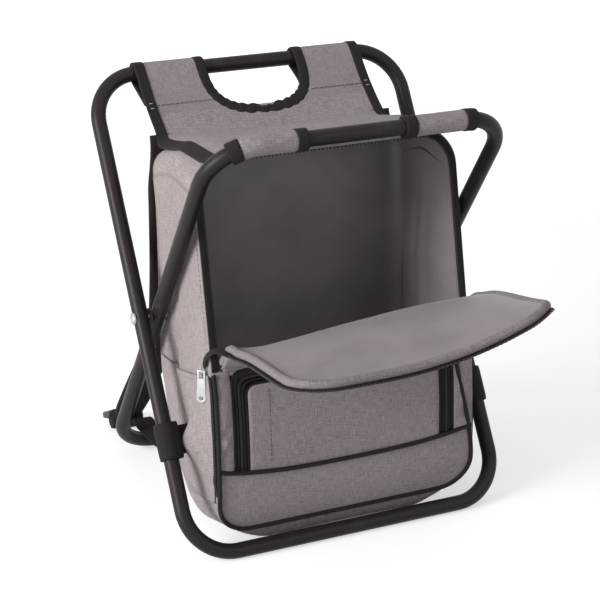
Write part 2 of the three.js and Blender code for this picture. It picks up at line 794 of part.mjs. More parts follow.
function pullTab(length) {
  const tip = pullWidth / 2;
  const neck = bridgeWidth / 2 + pullBar + pullThickness / 2;
  const shoulder = pullEyeLength + pullBar;
  const outline = new THREE.Shape();
  outline.moveTo(neck, pullBar / 2);
  outline.lineTo(-neck, pullBar / 2);
  outline.lineTo(-neck, -shoulder);
  outline.lineTo(-tip, tip - length);
  outline.absarc(0, tip - length, tip, Math.PI, 2 * Math.PI);
  outline.lineTo(neck, -shoulder);
  const eye = bridgeWidth / 2 + pullThickness / 2;
  outline.holes.push(toShape(rectangle(-eye, eye, -pullEyeLength, -pullBar / 2)));
  const tipHole = new THREE.Path();
  tipHole.absarc(0, tip - length, tip / 2, 0, 2 * Math.PI);
  outline.holes.push(tipHole);
  return extruded(outline, pullThickness).translate(0, 0, -pullThickness / 2);
}

function addZipHardware(names, place, outward, upward, length) {
  const group = new THREE.Group();
  const across = new THREE.Vector3().crossVectors(upward, outward);
  group.quaternion.setFromRotationMatrix(new THREE.Matrix4().makeBasis(across, upward, outward));
  group.position.copy(place);
  stool.add(group);
  addPiece(group, names[0], sliderBody(), zipMetal);
  const pull = addPiece(group, names[1], pullTab(length), zipMetal);
  pull.position.set(0, 0, sliderThickness + bridgeRoom / 2);
}

// The main sliders stand just above the side pockets' slanted hem
const pocketFront = bagOutline[1][0];
const hemShare = (sliderReach + sliderWidth / 2 + bagBackReach) / (bagBackReach - pocketFront);
const hemRise = (sidePocketFrontHeight - sidePocketRearHeight) * hemShare;
const sliderHeight = sidePocketRearHeight + hemRise + sliderLift + sliderLength / 2;
for (const [label, side] of sides) {
  addZipHardware(
    [`zip_slider_${label}`, `zip_pull_${label}`],
    new THREE.Vector3(side * (bagHalfWidth + fit), -sliderReach, sliderHeight),
    new THREE.Vector3(side, 0, 0),
    new THREE.Vector3(0, 0, 1),
    pullLength,
  );
}

const pocketSlope = Math.atan2(cornerOf(0)[0] - cornerOf(1)[0], cornerOf(0)[1] - cornerOf(1)[1]);
const pocketSliderHeight = doorTop + pocketTapeRise / 2;
addZipHardware(
  ['pocket_slider', 'pocket_pull'],
  new THREE.Vector3(0, faceAt(pocketSliderHeight, fit), pocketSliderHeight),
  new THREE.Vector3(0, -Math.cos(pocketSlope), Math.sin(pocketSlope)),
  new THREE.Vector3(0, Math.sin(pocketSlope), Math.cos(pocketSlope)),
  pocketPullLength,
);

// Side pockets: flat cloth on the bag's sides below a slanted hem
const sidePocketLow = bagFloorGap + bagBottomRadius;
for (const [label, side] of sides) {
  const near = side * (bagHalfWidth + fit);
  const far = side * (bagHalfWidth + fit + sidePocketThickness);
  const below = acrossX([
    [-pocketReachAll, sidePocketLow],
    [pocketReachAll, sidePocketLow],
    [pocketReachAll, sidePocketRearHeight],
    [bagBackReach, sidePocketRearHeight],
    [pocketFront, sidePocketFrontHeight],
    [-pocketReachAll, sidePocketFrontHeight],
  ], near, far);
  const plate = acrossX(grown(bagOutline, -sidePocketInset), near, far).intersect(below);
  addPiece(stool, `side_pocket_${label}`, toGeometry(plate), greyCloth);
}

// Leg wraps: a band round each front leg with an arm to the bag's side
for (const [label, side] of sides) {
  const centre = side * outerHalfWidth;
  const along = (wrapHeight - pivotHeight) / Math.cos(openAngle);
  const ends = [along - wrapLength / 2, along + wrapLength / 2];
  const bore = tubeCornerRadius + fit;
  const band = (radius) => alongY(
    sectionPoints(radius, tubeSides, 0).map((point) => [point.x + centre, point.y]),
    ends[0],
    ends[1],
  );
  const armStart = bagHalfWidth + sidePocketThickness + 2 * fit;
  const armEnds = [side * armStart, centre].sort((one, other) => one - other);
  const arm = alongY(
    rectangle(armEnds[0], armEnds[1], -wrapArmThickness / 2, wrapArmThickness / 2),
    ends[0],
    ends[1],
  );
  const wrap = band(bore + sleeveThickness).add(arm).subtract(band(bore));
  addPiece(outerFrame, `leg_wrap_${label}`, toGeometry(wrap), darkCloth);
}

// Shoulder straps: padded run, adjuster on the floor behind, webbing back to the base
const strapTopShares = [[0.295, 0.99], [0.283, 0.85], [0.29, 0.65]];
const strapEndShares = [[0.335, 0.49], [0.46, 0.39], [0.71, 0.22], [0.95, 0.05]];
const strapShares = [...strapTopShares, ...strapEndShares];
const floorWebbingShares = [[1, 0.036], [0.82, 0.045], [0.73, 0.092], [0.6, 0.092]];
const webbingShares = [...floorWebbingShares, [0.34, 0.1], [0.12, 0.14], [-0.02, 0.18]];
const strapLine = (shares) => shares.map(([back, up]) => [strapReach * back, strapTop * up]);
for (const [label, side] of sides) {
  const centre = side * strapAcross;
  const adjuster = (margin) => upZ(
    roundedBox(
      strapWidth / 2 + margin,
      -adjusterLength / 2 - margin,
      adjusterLength / 2 + margin,
      adjusterThickness / 2,
      adjusterLength / 2,
    ),
    -adjusterThickness / 2 - margin,
    adjusterThickness / 2 + margin,
  );
  const settle = (solid) => solid
    .rotate([-adjusterTilt / degree, 0, 0])
    .translate([centre, strapReach + adjusterThickness, adjusterLength / 2]);
  const room = settle(adjuster(fit)).add(bagBody(-clothFit));
  const run = (shares, width, thickness) => acrossX(
    strip(strapLine(shares), thickness),
    centre - width / 2,
    centre + width / 2,
  );
  const pad = run(strapShares, strapWidth, strapThickness).subtract(room);
  addPiece(stool, `shoulder_strap_${label}`, toGeometry(pad), darkCloth);
  addPiece(stool, `strap_adjuster_${label}`, toGeometry(settle(adjuster(0))), darkPlastic);
  const webbing = run(webbingShares, webbingWidth, webbingThickness).subtract(room);
  addPiece(stool, `strap_webbing_${label}`, toGeometry(webbing), darkCloth);
}

// The part's origin is the middle of its footprint on the floor
const bounds = new THREE.Box3().setFromObject(stool, true);
const middleOfBounds = bounds.getCenter(new THREE.Vector3());
stool.position.set(-middleOfBounds.x, -middleOfBounds.y, -bounds.min.z);

export default stool;
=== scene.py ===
"""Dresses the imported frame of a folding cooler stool: smooth tubes, cloth seat, cooler bag and straps.

A piece is drawn in millimetres, with y measured from the pivot of the legs, and is placed when it is made.
"""

import json
from math import acos, atan2, copysign, cos, dist, exp, pi, radians, sin, sqrt

import bmesh
import bpy
import numpy as np
from bpy.props import FloatProperty, FloatVectorProperty, PointerProperty
from mathutils import Matrix, Vector, noise


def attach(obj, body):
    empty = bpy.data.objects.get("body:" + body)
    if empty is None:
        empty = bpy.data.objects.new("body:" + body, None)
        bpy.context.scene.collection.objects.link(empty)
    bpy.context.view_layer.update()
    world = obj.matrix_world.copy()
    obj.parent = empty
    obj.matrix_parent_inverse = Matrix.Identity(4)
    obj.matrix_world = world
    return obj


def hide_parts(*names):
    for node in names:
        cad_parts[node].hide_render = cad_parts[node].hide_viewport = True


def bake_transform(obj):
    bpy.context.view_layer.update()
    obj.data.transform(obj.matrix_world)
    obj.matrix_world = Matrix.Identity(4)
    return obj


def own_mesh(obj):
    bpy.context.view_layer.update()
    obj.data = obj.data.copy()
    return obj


bl_info = {
    "name": "Folding cooler stool",
    "version": (1, 0, 0),
    "blender": (4, 5, 0),
    "location": "View3D > Sidebar > Stool",
    "description": "Dresses the packed frame of a folding cooler stool",
    "category": "Object",
}

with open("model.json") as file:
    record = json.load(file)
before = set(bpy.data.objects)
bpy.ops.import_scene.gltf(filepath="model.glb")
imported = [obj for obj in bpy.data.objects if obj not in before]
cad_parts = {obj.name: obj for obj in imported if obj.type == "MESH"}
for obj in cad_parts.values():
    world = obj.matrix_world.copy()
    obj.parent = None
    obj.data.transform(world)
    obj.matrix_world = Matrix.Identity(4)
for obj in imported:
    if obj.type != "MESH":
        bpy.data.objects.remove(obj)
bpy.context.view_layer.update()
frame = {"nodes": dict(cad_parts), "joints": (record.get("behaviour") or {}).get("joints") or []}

# Places that follow from the frame
MM = 0.001
FOLD = next(joint for joint in frame["joints"] if joint["name"] == "fold")
PIVOT = Vector(FOLD["pos_m"]) / MM
PLACE = Matrix.Translation((0, PIVOT.y * MM, 0)) @ Matrix.Scale(MM, 4)
OPEN_ANGLE = radians(33)
SIDES = (("left", -1), ("right", 1))

# Frame tubes
TUBE_RADIUS = 8
TUBE_SEGMENTS = 28
BEND_STEPS = 14
OUTER_HALF_WIDTH = 178
INNER_HALF_WIDTH = 159.5
LOWER_LEG = 251.5
UPPER_LEG = 258
BEND_RADIUS = 50
REAR_BAR = Vector((UPPER_LEG * sin(OPEN_ANGLE), PIVOT.z + UPPER_LEG * cos(OPEN_ANGLE)))

# Bag, as (back, up) points on its side view
BAG_HALF_WIDTH = 146
BAG_TOP = 403
SILL = Vector((-109, 197))
BROW = Vector((-57, 403))
TOE = Vector((-121.5, 20.5))
HEEL = Vector((-27.9, 22.1))
CROWN = Vector((58, 377))
FACE_LINE = [SILL, (-113.8, 184), (-117.2, 169.4), (-123, 125.2), (-126.4, 79.2), (-125.8, 46), TOE]
BASE_LINE = [TOE, (-120.5, 9.5), (-111.5, 2.4), (-66, 2.2), (-43, 8.5), HEEL]
BASE_TUCK_SLOPE = 0.3
BACK_LINE = [HEEL, (-5.9, 40), (8.1, 67), (27, 117), (40, 160.8), (44.1, 224.7), (45, 279.5)]
BACK_LINE += [(49.5, 341.5), CROWN]
TOP_LINE = [BROW, (-5.8, 398.6), (20.9, 391.6), (44, 383.8), CROWN]
TOP_CORNER = 37
REAR_TOP_CORNER = 28
BOTTOM_CORNER = 36
REAR_CORNER = 16
OPENING_HALF_WIDTH = 142.8
OPENING_TOP = 400
OPENING_CORNER = 37
OPENING_TAPE_INSET = 0.8
OPENING_TEETH_INSET = 4.3
OPENING_TAPE_WIDTH = 7
OPENING_STITCH_ENDS = (205, 362)
LINING_LIP_INSET = 3.5
LINING_INSET = 7
SIDE_SWELL_LIMIT = 3.6
PLEAT_MIDDLE, PLEAT_REACH = Vector((6, 265)), Vector((34, 80))

# Front pocket
HEM_HEIGHT = 84
HEM_RISE = 11
POCKET_TAPE_ACROSS = 117
POCKET_ZIP_TOP = 187
POCKET_ZIP_SHIFT = -2.5
POCKET_DOOR_TOP = 178.5
POCKET_DOOR_GAP = 9
POCKET_DOOR_CORNER = 9
DOOR_STITCH_ACROSS = -88
DOOR_STITCH_TOP = 174
STRIP_INNER_EDGE = 126
POCKET_TAPE_WIDTH = 20
POCKET_RIDGES = (-7.2, -3.6, 3.6, 7.2)
RIDGE_RADIUS = 1.2
CORNER_TAPE_WIDTH = 8
PIPING_TOP = 195
PIPING_DRIFT = 22
DIVIDER_LINE = [(-98, 20), (-98, 110), (-98, 184), (-100.5, 192), (-107.5, 195.4)]
DIVIDER_HALF_WIDTH = 138

# Flap, from its hinge
FLAP_HINGE = Vector((0, -111.95, 200.84))
FLAP_HALF_WIDTH = 139
FLAP_LENGTH = 200
FLAP_CORNER = 44
FLAP_REACH = 186
FLAP_NEAR_RISES = (38, 60)
FLAP_END_RISE = 53
FLAP_RIGHT_LIFT = 40
FLAP_ZIP_INSET = 0.2
FLAP_ZIP_LIFT = -4
FLAP_ZIP_WIDTH = 5.5
FLAP_TEETH_INSET = -2.2
FLAP_TEETH_LIFT = -3.8
ZIP_TAIL_JOIN = 32
ZIP_TAIL_WIDTH = 8.5
HINGE_CLOTH_HALF_WIDTH = 134

# Side pockets, leg wraps and shoulder straps
POCKET_LOW = 50
POCKET_FRONT, POCKET_REAR = -112, 20
SIDE_HEM_FRONT, SIDE_HEM_REAR = 191, 162
SIDE_HEM_START = -105
TUCK_LEVEL = 170
WRAP_PULL = Vector((-74, 109))
WRAP_PULL_OUT = 12.5
WRAP_HEIGHT = 110
WRAP_RADIUS = 10.2
WRAP_WIDTH = 38
WRAP_ARM_WIDTH = 30
WRAP_THICKNESS = 2.4
WRAP_START, WRAP_TURN = radians(160), radians(415)
STRAP_ACROSS = 127
STRAP_POINTS = [(71, 388), (59, 352), (55.5, 300.9), (56.8, 230.1), (65.7, 173.5), (90.2, 138.1)]
STRAP_POINTS += [(139.2, 77.9), (186.2, 17.7)]
WEBBING_POINTS = [(196, 12.7), (160.7, 15.9), (143, 32.6), (117.6, 32.6), (66.6, 35.4), (23.5, 49.6)]
WEBBING_POINTS += [(0.5, 62)]
STRAP_STITCH_SHARE = 0.3
WEBBING_WIDTH = 25
STRAP_ROLL_MIDDLE = (192.5, 13.2)
STRAP_ROLL_RADII = (8.2, 11.5)

# Stitching and zips
STITCH_PITCH = 5.2
STITCH_SIZE = (0.8, 3.4, 0.5)
ZIP_TAPE_THICKNESS = 2
TOOTH_WIDTH, TOOTH_SHARE, TOOTH_HEIGHT = 2.6, 0.62, 1.2
PULL_EYE = (150.55, -97, 195)
PULL_TURN = radians(48)


def lerp(first, second, share):
    return first + (second - first) * share


def clamp(value, low=0.0, high=1.0):
    return max(low, min(high, value))


def ease(share):
    share = clamp(share)
    return share * share * (3 - 2 * share)


def bell(value, middle, width):
    return exp(-(((value - middle) / width) ** 2))


def hump(share):
    """Rises from 0 to 1 in the middle and falls back."""
    return sin(pi * share)


def ruffle(*place):
    """Smooth unevenness between about -1 and 1."""
    return noise.noise(Vector(place))


def out_from(side):
    """The way out of the left or right side."""
    return Vector((side, 0, 0))


def shares(count):
    """Shares from 0 to 1 in equal steps, with both ends."""
    return [step / count for step in range(count + 1)]


def turns(count, start=0):
    """Angles round a section, in equal steps."""
    return [2 * pi * (index + start) / count for index in range(count)]


def side_point(x, flat):
    """A (back, up) point at a place across the stool."""
    return Vector((x, flat[0], flat[1]))


class Line:
    """A line that is read by its share of the whole length."""

    nudge = 0.004

    def heading(self, share):
        ahead, behind = self.at(min(share + self.nudge, 1)), self.at(max(share - self.nudge, 0))
        return (ahead - behind).normalized()


class Run(Line):
    """A smooth line through a few points."""

    def __init__(self, points, steps=10):
        knots = [Vector(point) for point in points]
        headings = []
        for index, knot in enumerate(knots):
            before = knots[max(index - 1, 0)]
            after = knots[min(index + 1, len(knots) - 1)]
            headings.append((after - before) / ((after - knot).length + (knot - before).length))
        places = [tuple(knots[0])]
        for index in range(len(knots) - 1):
            here, there = knots[index], knots[index + 1]
            span = (there - here).length
            for step in range(1, steps + 1):
                t = step / steps
                point = here * (2 * t**3 - 3 * t**2 + 1) + there * (3 * t**2 - 2 * t**3)
                bend = headings[index] * (t**3 - 2 * t**2 + t) + headings[index + 1] * (t**3 - t**2)
                places.append(tuple(point + bend * span))
        self.places = np.array(places)
        hops = np.linalg.norm(np.diff(self.places, axis=0), axis=1)
        self.marks = np.concatenate([[0], np.cumsum(hops)])
        self.length = float(self.marks[-1])

    def at(self, share):
        mark = clamp(share) * self.length
        return Vector([float(np.interp(mark, self.marks, column)) for column in self.places.T])

    def share_at(self, axis, value):
        """Share of the length at which a coordinate that only grows or only falls has a value."""
        column = self.places[:, axis]
        order = 1 if column[-1] > column[0] else -1
        return float(np.interp(order * value, order * column, self.marks)) / self.length


class MappedRun(Line):
    """A line that is given by a function of a share, with its length measured once."""

    nudge = 0.003

    def __init__(self, place, steps=160):
        self.at = place
        points = [place(share) for share in shares(steps)]
        self.length = sum((ahead - point).length for point, ahead in zip(points, points[1:]))


# Mesh makers: each starts from one of bmesh's own shapes and moves its points
def patch(columns, rows, place, cut, spread=None):
    """A cloth panel: a grid whose points go where place(across, along) says. Its weave has its real size."""
    mesh = bmesh.new()
    bmesh.ops.create_grid(mesh, x_segments=columns, y_segments=rows, size=0.5)
    weave = mesh.loops.layers.uv.new("weave")
    for face in mesh.faces:
        for loop in face.loops:
            across, along = loop.vert.co.x + 0.5, loop.vert.co.y + 0.5
            across = spread(across) if spread else across
            loop[weave].uv = (across * cut[0] * MM, along * cut[1] * MM)
    for vert in mesh.verts:
        vert.co = place(vert.co.x + 0.5, vert.co.y + 0.5)
    return mesh


def turned_frame(line, out, along):
    """Ways across, along and up at a share of a line; out is the way up, or a function that gives it."""
    heading = line.heading(along)
    side = heading.cross(out(along) if callable(out) else out).normalized()
    return side, heading, side.cross(heading)


def swept(line, out, section, steps, swell=None):
    """A closed section carried along a line, with its second coordinate pointing out."""
    count = len(section)
    hops = [dist(section[index], section[(index + 1) % count]) for index in range(count)]
    rim = sum(hops)

    def spread(around):
        return sum(hops[: round(around * count)]) / rim

    def place(around, along):
        side, _, up = turned_frame(line, out, along)
        across, rise = section[round(around * count) % count]
        grown = swell(along) if swell else 1
        return line.at(along) + side * across * grown + up * rise * grown

    mesh = patch(count, steps, place, (rim, line.length), spread)
    bmesh.ops.remove_doubles(mesh, verts=mesh.verts, dist=0.01)
    rims = [edge for edge in mesh.edges if edge.is_boundary]
    bmesh.ops.holes_fill(mesh, edges=rims, sides=0)
    return mesh


def flat_section(width, thickness, count=12, square=0.5):
    """A flat band's section with round edges."""
    points = []
    for angle in turns(count, 0.5):
        across = copysign(abs(cos(angle)) ** square, cos(angle))
        rise = copysign(abs(sin(angle)) ** 0.8, sin(angle))
        points.append((across * width / 2, rise * thickness / 2))
    return points


def round_section(radius, count=10):
    return [(radius * cos(angle), radius * sin(angle)) for angle in turns(count)]


def settled(mesh, name):
    """A mesh that can be shown, from one that was being shaped."""
    data = bpy.data.meshes.new(name)
    mesh.to_mesh(data)
    mesh.free()
    return data


def added(name, data):
    """A new object in the scene."""
    item = bpy.data.objects.new(name, data)
    bpy.context.scene.collection.objects.link(item)
    return item


def joined(*meshes):
    """One mesh from several."""
    whole = bmesh.new()
    for mesh in meshes:
        data = settled(mesh, "part")
        whole.from_mesh(data)
        bpy.data.meshes.remove(data)
    return whole


def teeth(line, out, pitch, block):
    """A row of small blocks along a line, such as the teeth of a zip."""
    mesh = bmesh.new()
    count = int(line.length / pitch)
    for index in range(count):
        share = (index + 0.5) / count
        turn = Matrix(turned_frame(line, out, share)).transposed().to_4x4()
        stretch = Matrix.Diagonal((*block, 1))
        bmesh.ops.create_cube(mesh, size=1, matrix=Matrix.Translation(line.at(share)) @ turn @ stretch)
    return mesh


def stitches(line, out):
    return teeth(line, out, STITCH_PITCH, STITCH_SIZE)


# Painted shade: the flap's roll gets the grey cloth's yarns darkened by this share, standing in for the shade
# it lies in
RIM_PAINTED_SHADE = 0.74

# Finishes by their short names, once they are made
FINISHES = {}


def make_piece(mesh, name, finish, node=None, body="outer_frame", bends=None, wall=0, levels=0):
    """Places a mesh, gives it its finish and hangs it on its body; a piece given bends keeps its place
    unhung.

    A node is the CAD node that the piece stands for.
    """
    bmesh.ops.recalc_face_normals(mesh, faces=mesh.faces)
    mesh.transform(PLACE)
    for face in mesh.faces:
        face.smooth = True
    data = settled(mesh, name)
    data.materials.append(FINISHES[finish])
    piece = added(name, data)
    if wall:
        thick = piece.modifiers.new("wall", "SOLIDIFY")
        thick.thickness = wall * MM
        thick.offset = 0
    if levels:
        fine = piece.modifiers.new("fine", "SUBSURF")
        fine.levels = levels
        fine.render_levels = levels
    if bends:
        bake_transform(piece)
    else:
        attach(piece, body)
    if node:
        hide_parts(node)
    return piece


def dress(node, finish):
    """Gives a CAD node that stays its finish."""
    held = frame["nodes"][node]
    if not held.material_slots:
        held.data.materials.append(FINISHES[finish])
    for held_slot in held.material_slots:
        held_slot.material = FINISHES[finish]


def softened_copy(node, edge):
    """A node's shape with round edges, for a small part that the eye is drawn to."""
    mesh = bmesh.new()
    mesh.from_mesh(frame["nodes"][node].data)
    bmesh.ops.remove_doubles(mesh, verts=mesh.verts, dist=0.00001)
    mesh.transform(PLACE.inverted())
    bmesh.ops.dissolve_limit(mesh, angle_limit=radians(4), verts=mesh.verts, edges=mesh.edges)
    sharp = [e for e in mesh.edges if len(e.link_faces) == 2 and e.calc_face_angle(0) > radians(35)]
    round_edge = {"offset": edge, "offset_type": "OFFSET", "segments": 2, "profile": 0.5, "material": -1}
    bmesh.ops.bevel(mesh, geom=sharp, affect="EDGES", clamp_overlap=True, **round_edge)
    return mesh


# Shader maths, written as sums
class Signal:
    """A number that varies over a surface, held in a node's socket."""

    def __init__(self, nodes, socket):
        self.nodes = nodes
        self.socket = socket

    def joined_to(self, operation, first, second):
        node = self.nodes.node("ShaderNodeMath", {"operation": operation}, {0: first, 1: second})
        return Signal(self.nodes, node.outputs[0])

    def __add__(self, other):
        return self.joined_to("ADD", self, other)

    __radd__ = __add__

    def __sub__(self, other):
        return self.joined_to("SUBTRACT", self, other)

    def __rsub__(self, other):
        return self.joined_to("SUBTRACT", other, self)

    def __mul__(self, other):
        return self.joined_to("MULTIPLY", self, other)

    __rmul__ = __mul__

    def sine(self):
        return self.joined_to("SINE", self, 0)

    def most(self, other):
        return self.joined_to("MAXIMUM", self, other)

    def spread(self, low, high):
        """The share of the way from low to high, eased at both ends."""
        inputs = {"Value": self, "From Min": low, "From Max": high}
        node = self.nodes.node("ShaderNodeMapRange", {"interpolation_type": "SMOOTHSTEP"}, inputs)
        return Signal(self.nodes, node.outputs["Result"])


class Nodes:
    """A node tree being filled."""

    def __init__(self, tree):
        self.tree = tree

    def node(self, kind, settings=None, inputs=None):
        """One node: its settings first, then the values or links of its sockets."""
        node = self.tree.nodes.new(kind)
        for name, value in (settings or {}).items():
            setattr(node, name, value)
        for name, value in (inputs or {}).items():
            self.feed(node.inputs[name], value)
        return node

    def feed(self, socket, value):
        if isinstance(value, Signal):
            self.tree.links.new(value.socket, socket)
        elif isinstance(value, bpy.types.NodeSocket):
            self.tree.links.new(value, socket)
        else:
            socket.default_value = value

    def looks(self):
        """Signals that are 1 for a ray from the camera, from a glossy surface and through a clear one."""
        seen = self.node("ShaderNodeLightPath")
        return [Signal(self, seen.outputs[f"Is {kind} Ray"]) for kind in ("Camera", "Glossy", "Transmission")]


class Recipe(Nodes):
    """A finish being made: its node tree, its shader and the patterns that feed it."""

    def __init__(self, name, **sockets):
        """Sockets of the shader are named with _ for each space."""
        self.material = bpy.data.materials.new(name)
        self.material.use_nodes = True
        super().__init__(self.material.node_tree)
        self.shader = self.tree.nodes["Principled BSDF"]
        for socket, value in sockets.items():
            self.vary(socket.replace("_", " "), value)

    def place(self, source, scale):
        """Coordinates in metres times a scale, which is one number or one for each direction."""
        if source == "weave":
            start = self.node("ShaderNodeUVMap", {"uv_map": "weave"}).outputs["UV"]
        else:
            start = self.node("ShaderNodeTexCoord").outputs["Object"]
        scale = scale if isinstance(scale, tuple) else (scale, scale, scale)
        scaled = self.node("ShaderNodeVectorMath", {"operation": "MULTIPLY"}, {0: start, 1: scale})
        return scaled.outputs[0]

    def cloud(self, source, scale, detail=2.0, roughness=0.5):
        inputs = {"Vector": self.place(source, scale), "Scale": 1.0, "Detail": detail}
        inputs["Roughness"] = roughness
        return Signal(self, self.node("ShaderNodeTexNoise", None, inputs).outputs[0])

    def ribs(self, axis, pitch):
        """Ribs of the weave with a pitch in metres, as a wave from -1 to 1."""
        parts = self.node("ShaderNodeSeparateXYZ", None, {0: self.place("weave", 2 * pi / pitch)})
        return Signal(self, parts.outputs[axis]).sine()

    def colour(self, share, low, high):
        inputs = {"Factor": share, 6: (*low, 1), 7: (*high, 1)}
        self.vary("Base Color", self.node("ShaderNodeMix", {"data_type": "RGBA"}, inputs).outputs[2])

    def relief(self, height, depth, strength):
        inputs = {"Height": height, "Distance": depth * MM, "Strength": strength}
        self.vary("Normal", self.node("ShaderNodeBump", None, inputs).outputs["Normal"])

    def vary(self, socket, value):
        self.feed(self.shader.inputs[socket], value)


def melange_finish(name, light, dark, thread):
    """Cloth woven from light and dark yarns: short streaks both ways, a fine weave and slow fading."""
    recipe = Recipe(name, Roughness=0.9, Sheen_Weight=0.06, Sheen_Roughness=0.6, Specular_IOR_Level=0.3)
    fine = 1 / thread
    coarse = fine / 13
    weft = recipe.cloud("weave", (coarse, fine, fine), 3, 0.6)
    warp = recipe.cloud("weave", (fine, coarse, fine), 3, 0.6)
    fade = recipe.cloud("weave", 9, 2, 0.5)
    streaks = weft * 0.5 + warp * 0.5
    recipe.colour((streaks + fade * 0.12).spread(0.36, 0.76), dark, light)
    recipe.relief(streaks * 1.2 + recipe.ribs(0, thread) * recipe.ribs(1, thread) * 0.35, 0.35, 0.7)
    recipe.vary("Roughness", fade * 0.12 + 0.84)
    return recipe.material


def tape_finish(name, base, worn, rib):
    """Close-woven tape: fine ribs across, and threads a little paler where they rub."""
    recipe = Recipe(name, Roughness=0.8, Specular_IOR_Level=0.2)
    ribs, cross = (recipe.ribs(axis, rib) * 0.5 + 0.5 for axis in (1, 0))
    fuzz = recipe.cloud("weave", 900, 2, 0.6)
    slow = recipe.cloud("weave", 40, 2, 0.5)
    recipe.colour((ribs * cross * 0.5 + fuzz * 0.4 + slow * 0.25).spread(0.3, 0.85), base, worn)
    recipe.relief(ribs * cross + fuzz * 0.6, 0.4, 0.8)
    recipe.vary("Roughness", fuzz * 0.2 + 0.7)
    return recipe.material


def lining_finish(name, base, shade):
    """Smooth coated lining with faint creases, painted darker along them as shade."""
    recipe = Recipe(name, Roughness=0.5, Sheen_Weight=0.1)
    crease = recipe.cloud("object", 14, 3, 0.55)
    grain = recipe.cloud("object", 1400, 1, 0.5)
    # Painted shade: the lining goes to its darker colour where the crease bump dips
    recipe.colour(crease.spread(0.3, 0.7), shade, base)
    recipe.relief(crease * 3 + grain * 0.12, 0.8, 0.5)
    recipe.vary("Roughness", crease * 0.18 + 0.4)
    return recipe.material


def worn_finish(name, base, worn, rub, grain, spread, relief, gloss, **sockets):
    """A smooth surface with a fine grain, rubbed to another colour and roughness in places."""
    recipe = Recipe(name, **sockets)
    rubbed = recipe.cloud("object", *rub)
    recipe.colour(rubbed.spread(*spread), base, worn)
    recipe.relief(recipe.cloud("object", *grain), *relief)
    recipe.vary("Roughness", rubbed * gloss[0] + gloss[1])
    return recipe.material


# Patterns of the smooth finishes: the rubbed places, the grain, and how strong each one is
PAINT = {
    "rub": (32, 4, 0.65),
    "grain": (260, 2, 0.5),
    "spread": (0.55, 0.8),
    "relief": (0.25, 0.25),
    "gloss": (0.16, 0.3),
    "Roughness": 0.4,
    "Specular_IOR_Level": 0.15,
}
METAL = {
    "rub": (180, 3, 0.6),
    "grain": ((2600, 160, 160), 2, 0.5),
    "spread": (0.45, 0.75),
    "relief": (0.06, 0.4),
    "gloss": (0.15, 0.24),
    "Metallic": 0.85,
}
DULL_METAL = {**METAL, "gloss": (0.15, 0.3)}
PLASTIC = {
    "rub": (60, 3, 0.6),
    "grain": (1800, 2, 0.5),
    "spread": (0.5, 0.8),
    "relief": (0.12, 0.5),
    "gloss": (0.15, 0.38),
    "Roughness": 0.45,
}


# Frame: two loops of round tube, and the rivets they turn on
def tube_loop(half_width, lean):
    """One closed loop of tube: straight runs are drawn out, corners are spun, then the loop is leaned."""
    mesh = bmesh.new()
    upright = Matrix.Rotation(radians(90), 4, "Y")
    start = Matrix.Translation((0, 0, -LOWER_LEG)) @ upright
    ring = bmesh.ops.create_circle(mesh, segments=TUBE_SEGMENTS, radius=TUBE_RADIUS, matrix=start)
    weave = mesh.loops.layers.uv.new("weave")
    edges = list({edge for vert in ring["verts"] for edge in vert.link_edges})
    half = half_width - BEND_RADIUS
    low, high = -LOWER_LEG + BEND_RADIUS, UPPER_LEG - BEND_RADIUS
    runs = (
        (Vector((half, 0, 0)), (half, 0, low)),
        (Vector((0, 0, high - low)), (half, 0, high)),
        (Vector((-2 * half, 0, 0)), (-half, 0, high)),
        (Vector((0, 0, low - high)), (-half, 0, low)),
        (Vector((half, 0, 0)), None),
    )
    for reach, corner in runs:
        drawn = bmesh.ops.extrude_edge_only(mesh, edges=edges)["geom"]
        verts = [item for item in drawn if isinstance(item, bmesh.types.BMVert)]
        edges = [item for item in drawn if isinstance(item, bmesh.types.BMEdge)]
        bmesh.ops.translate(mesh, vec=reach, verts=verts)
        if corner:
            quarter = {"cent": corner, "axis": (0, -1, 0), "angle": radians(90), "steps": BEND_STEPS}
            turned = bmesh.ops.spin(mesh, geom=edges, use_merge=False, use_duplicate=False, **quarter)
            edges = [item for item in turned["geom_last"] if isinstance(item, bmesh.types.BMEdge)]
    bmesh.ops.remove_doubles(mesh, verts=mesh.verts, dist=0.05)
    for face in mesh.faces:
        for loop in face.loops:
            loop[weave].uv = (loop.vert.co.x * MM, loop.vert.co.z * MM)
    mesh.transform(Matrix.Translation((0, 0, PIVOT.z)) @ Matrix.Rotation(-lean * OPEN_ANGLE, 4, "X"))
    return mesh


def leg_point(lean, x, along):
    """A point at a signed length from the pivot up a leg, at a place across the stool."""
    return Vector((x, lean * along * sin(OPEN_ANGLE), PIVOT.z + along * cos(OPEN_ANGLE)))


def top_bar_point(half_width, lean, along):
    """A point of a top bar, measured along it from its middle and on into its bends."""
    straight = half_width - BEND_RADIUS
    turn = max(abs(along) - straight, 0) / BEND_RADIUS
    across = min(abs(along), straight) + BEND_RADIUS * sin(turn)
    rise = UPPER_LEG - BEND_RADIUS + BEND_RADIUS * cos(turn)
    return leg_point(lean, copysign(across, along), rise)


def rivet_head(side):
    """A domed rivet head outside the leg, turned from its half section."""
    mesh = bmesh.new()
    seat = OUTER_HALF_WIDTH + TUBE_RADIUS - 0.3
    profile = [(0, 2.9), (2.4, 2.7), (4.6, 1.9), (6, 0.8), (6.5, 0), (6.3, -0.6)]
    verts = [mesh.verts.new((side * (seat + rise), 0, PIVOT.z + radius)) for radius, rise in profile]
    edges = [mesh.edges.new(pair) for pair in zip(verts, verts[1:])]
    whole_turn = {"cent": (0, 0, PIVOT.z), "axis": (1, 0, 0), "angle": 2 * pi, "steps": TUBE_SEGMENTS}
    bmesh.ops.spin(mesh, geom=verts + edges, use_merge=True, **whole_turn)
    bmesh.ops.remove_doubles(mesh, verts=mesh.verts, dist=0.01)
    return mesh


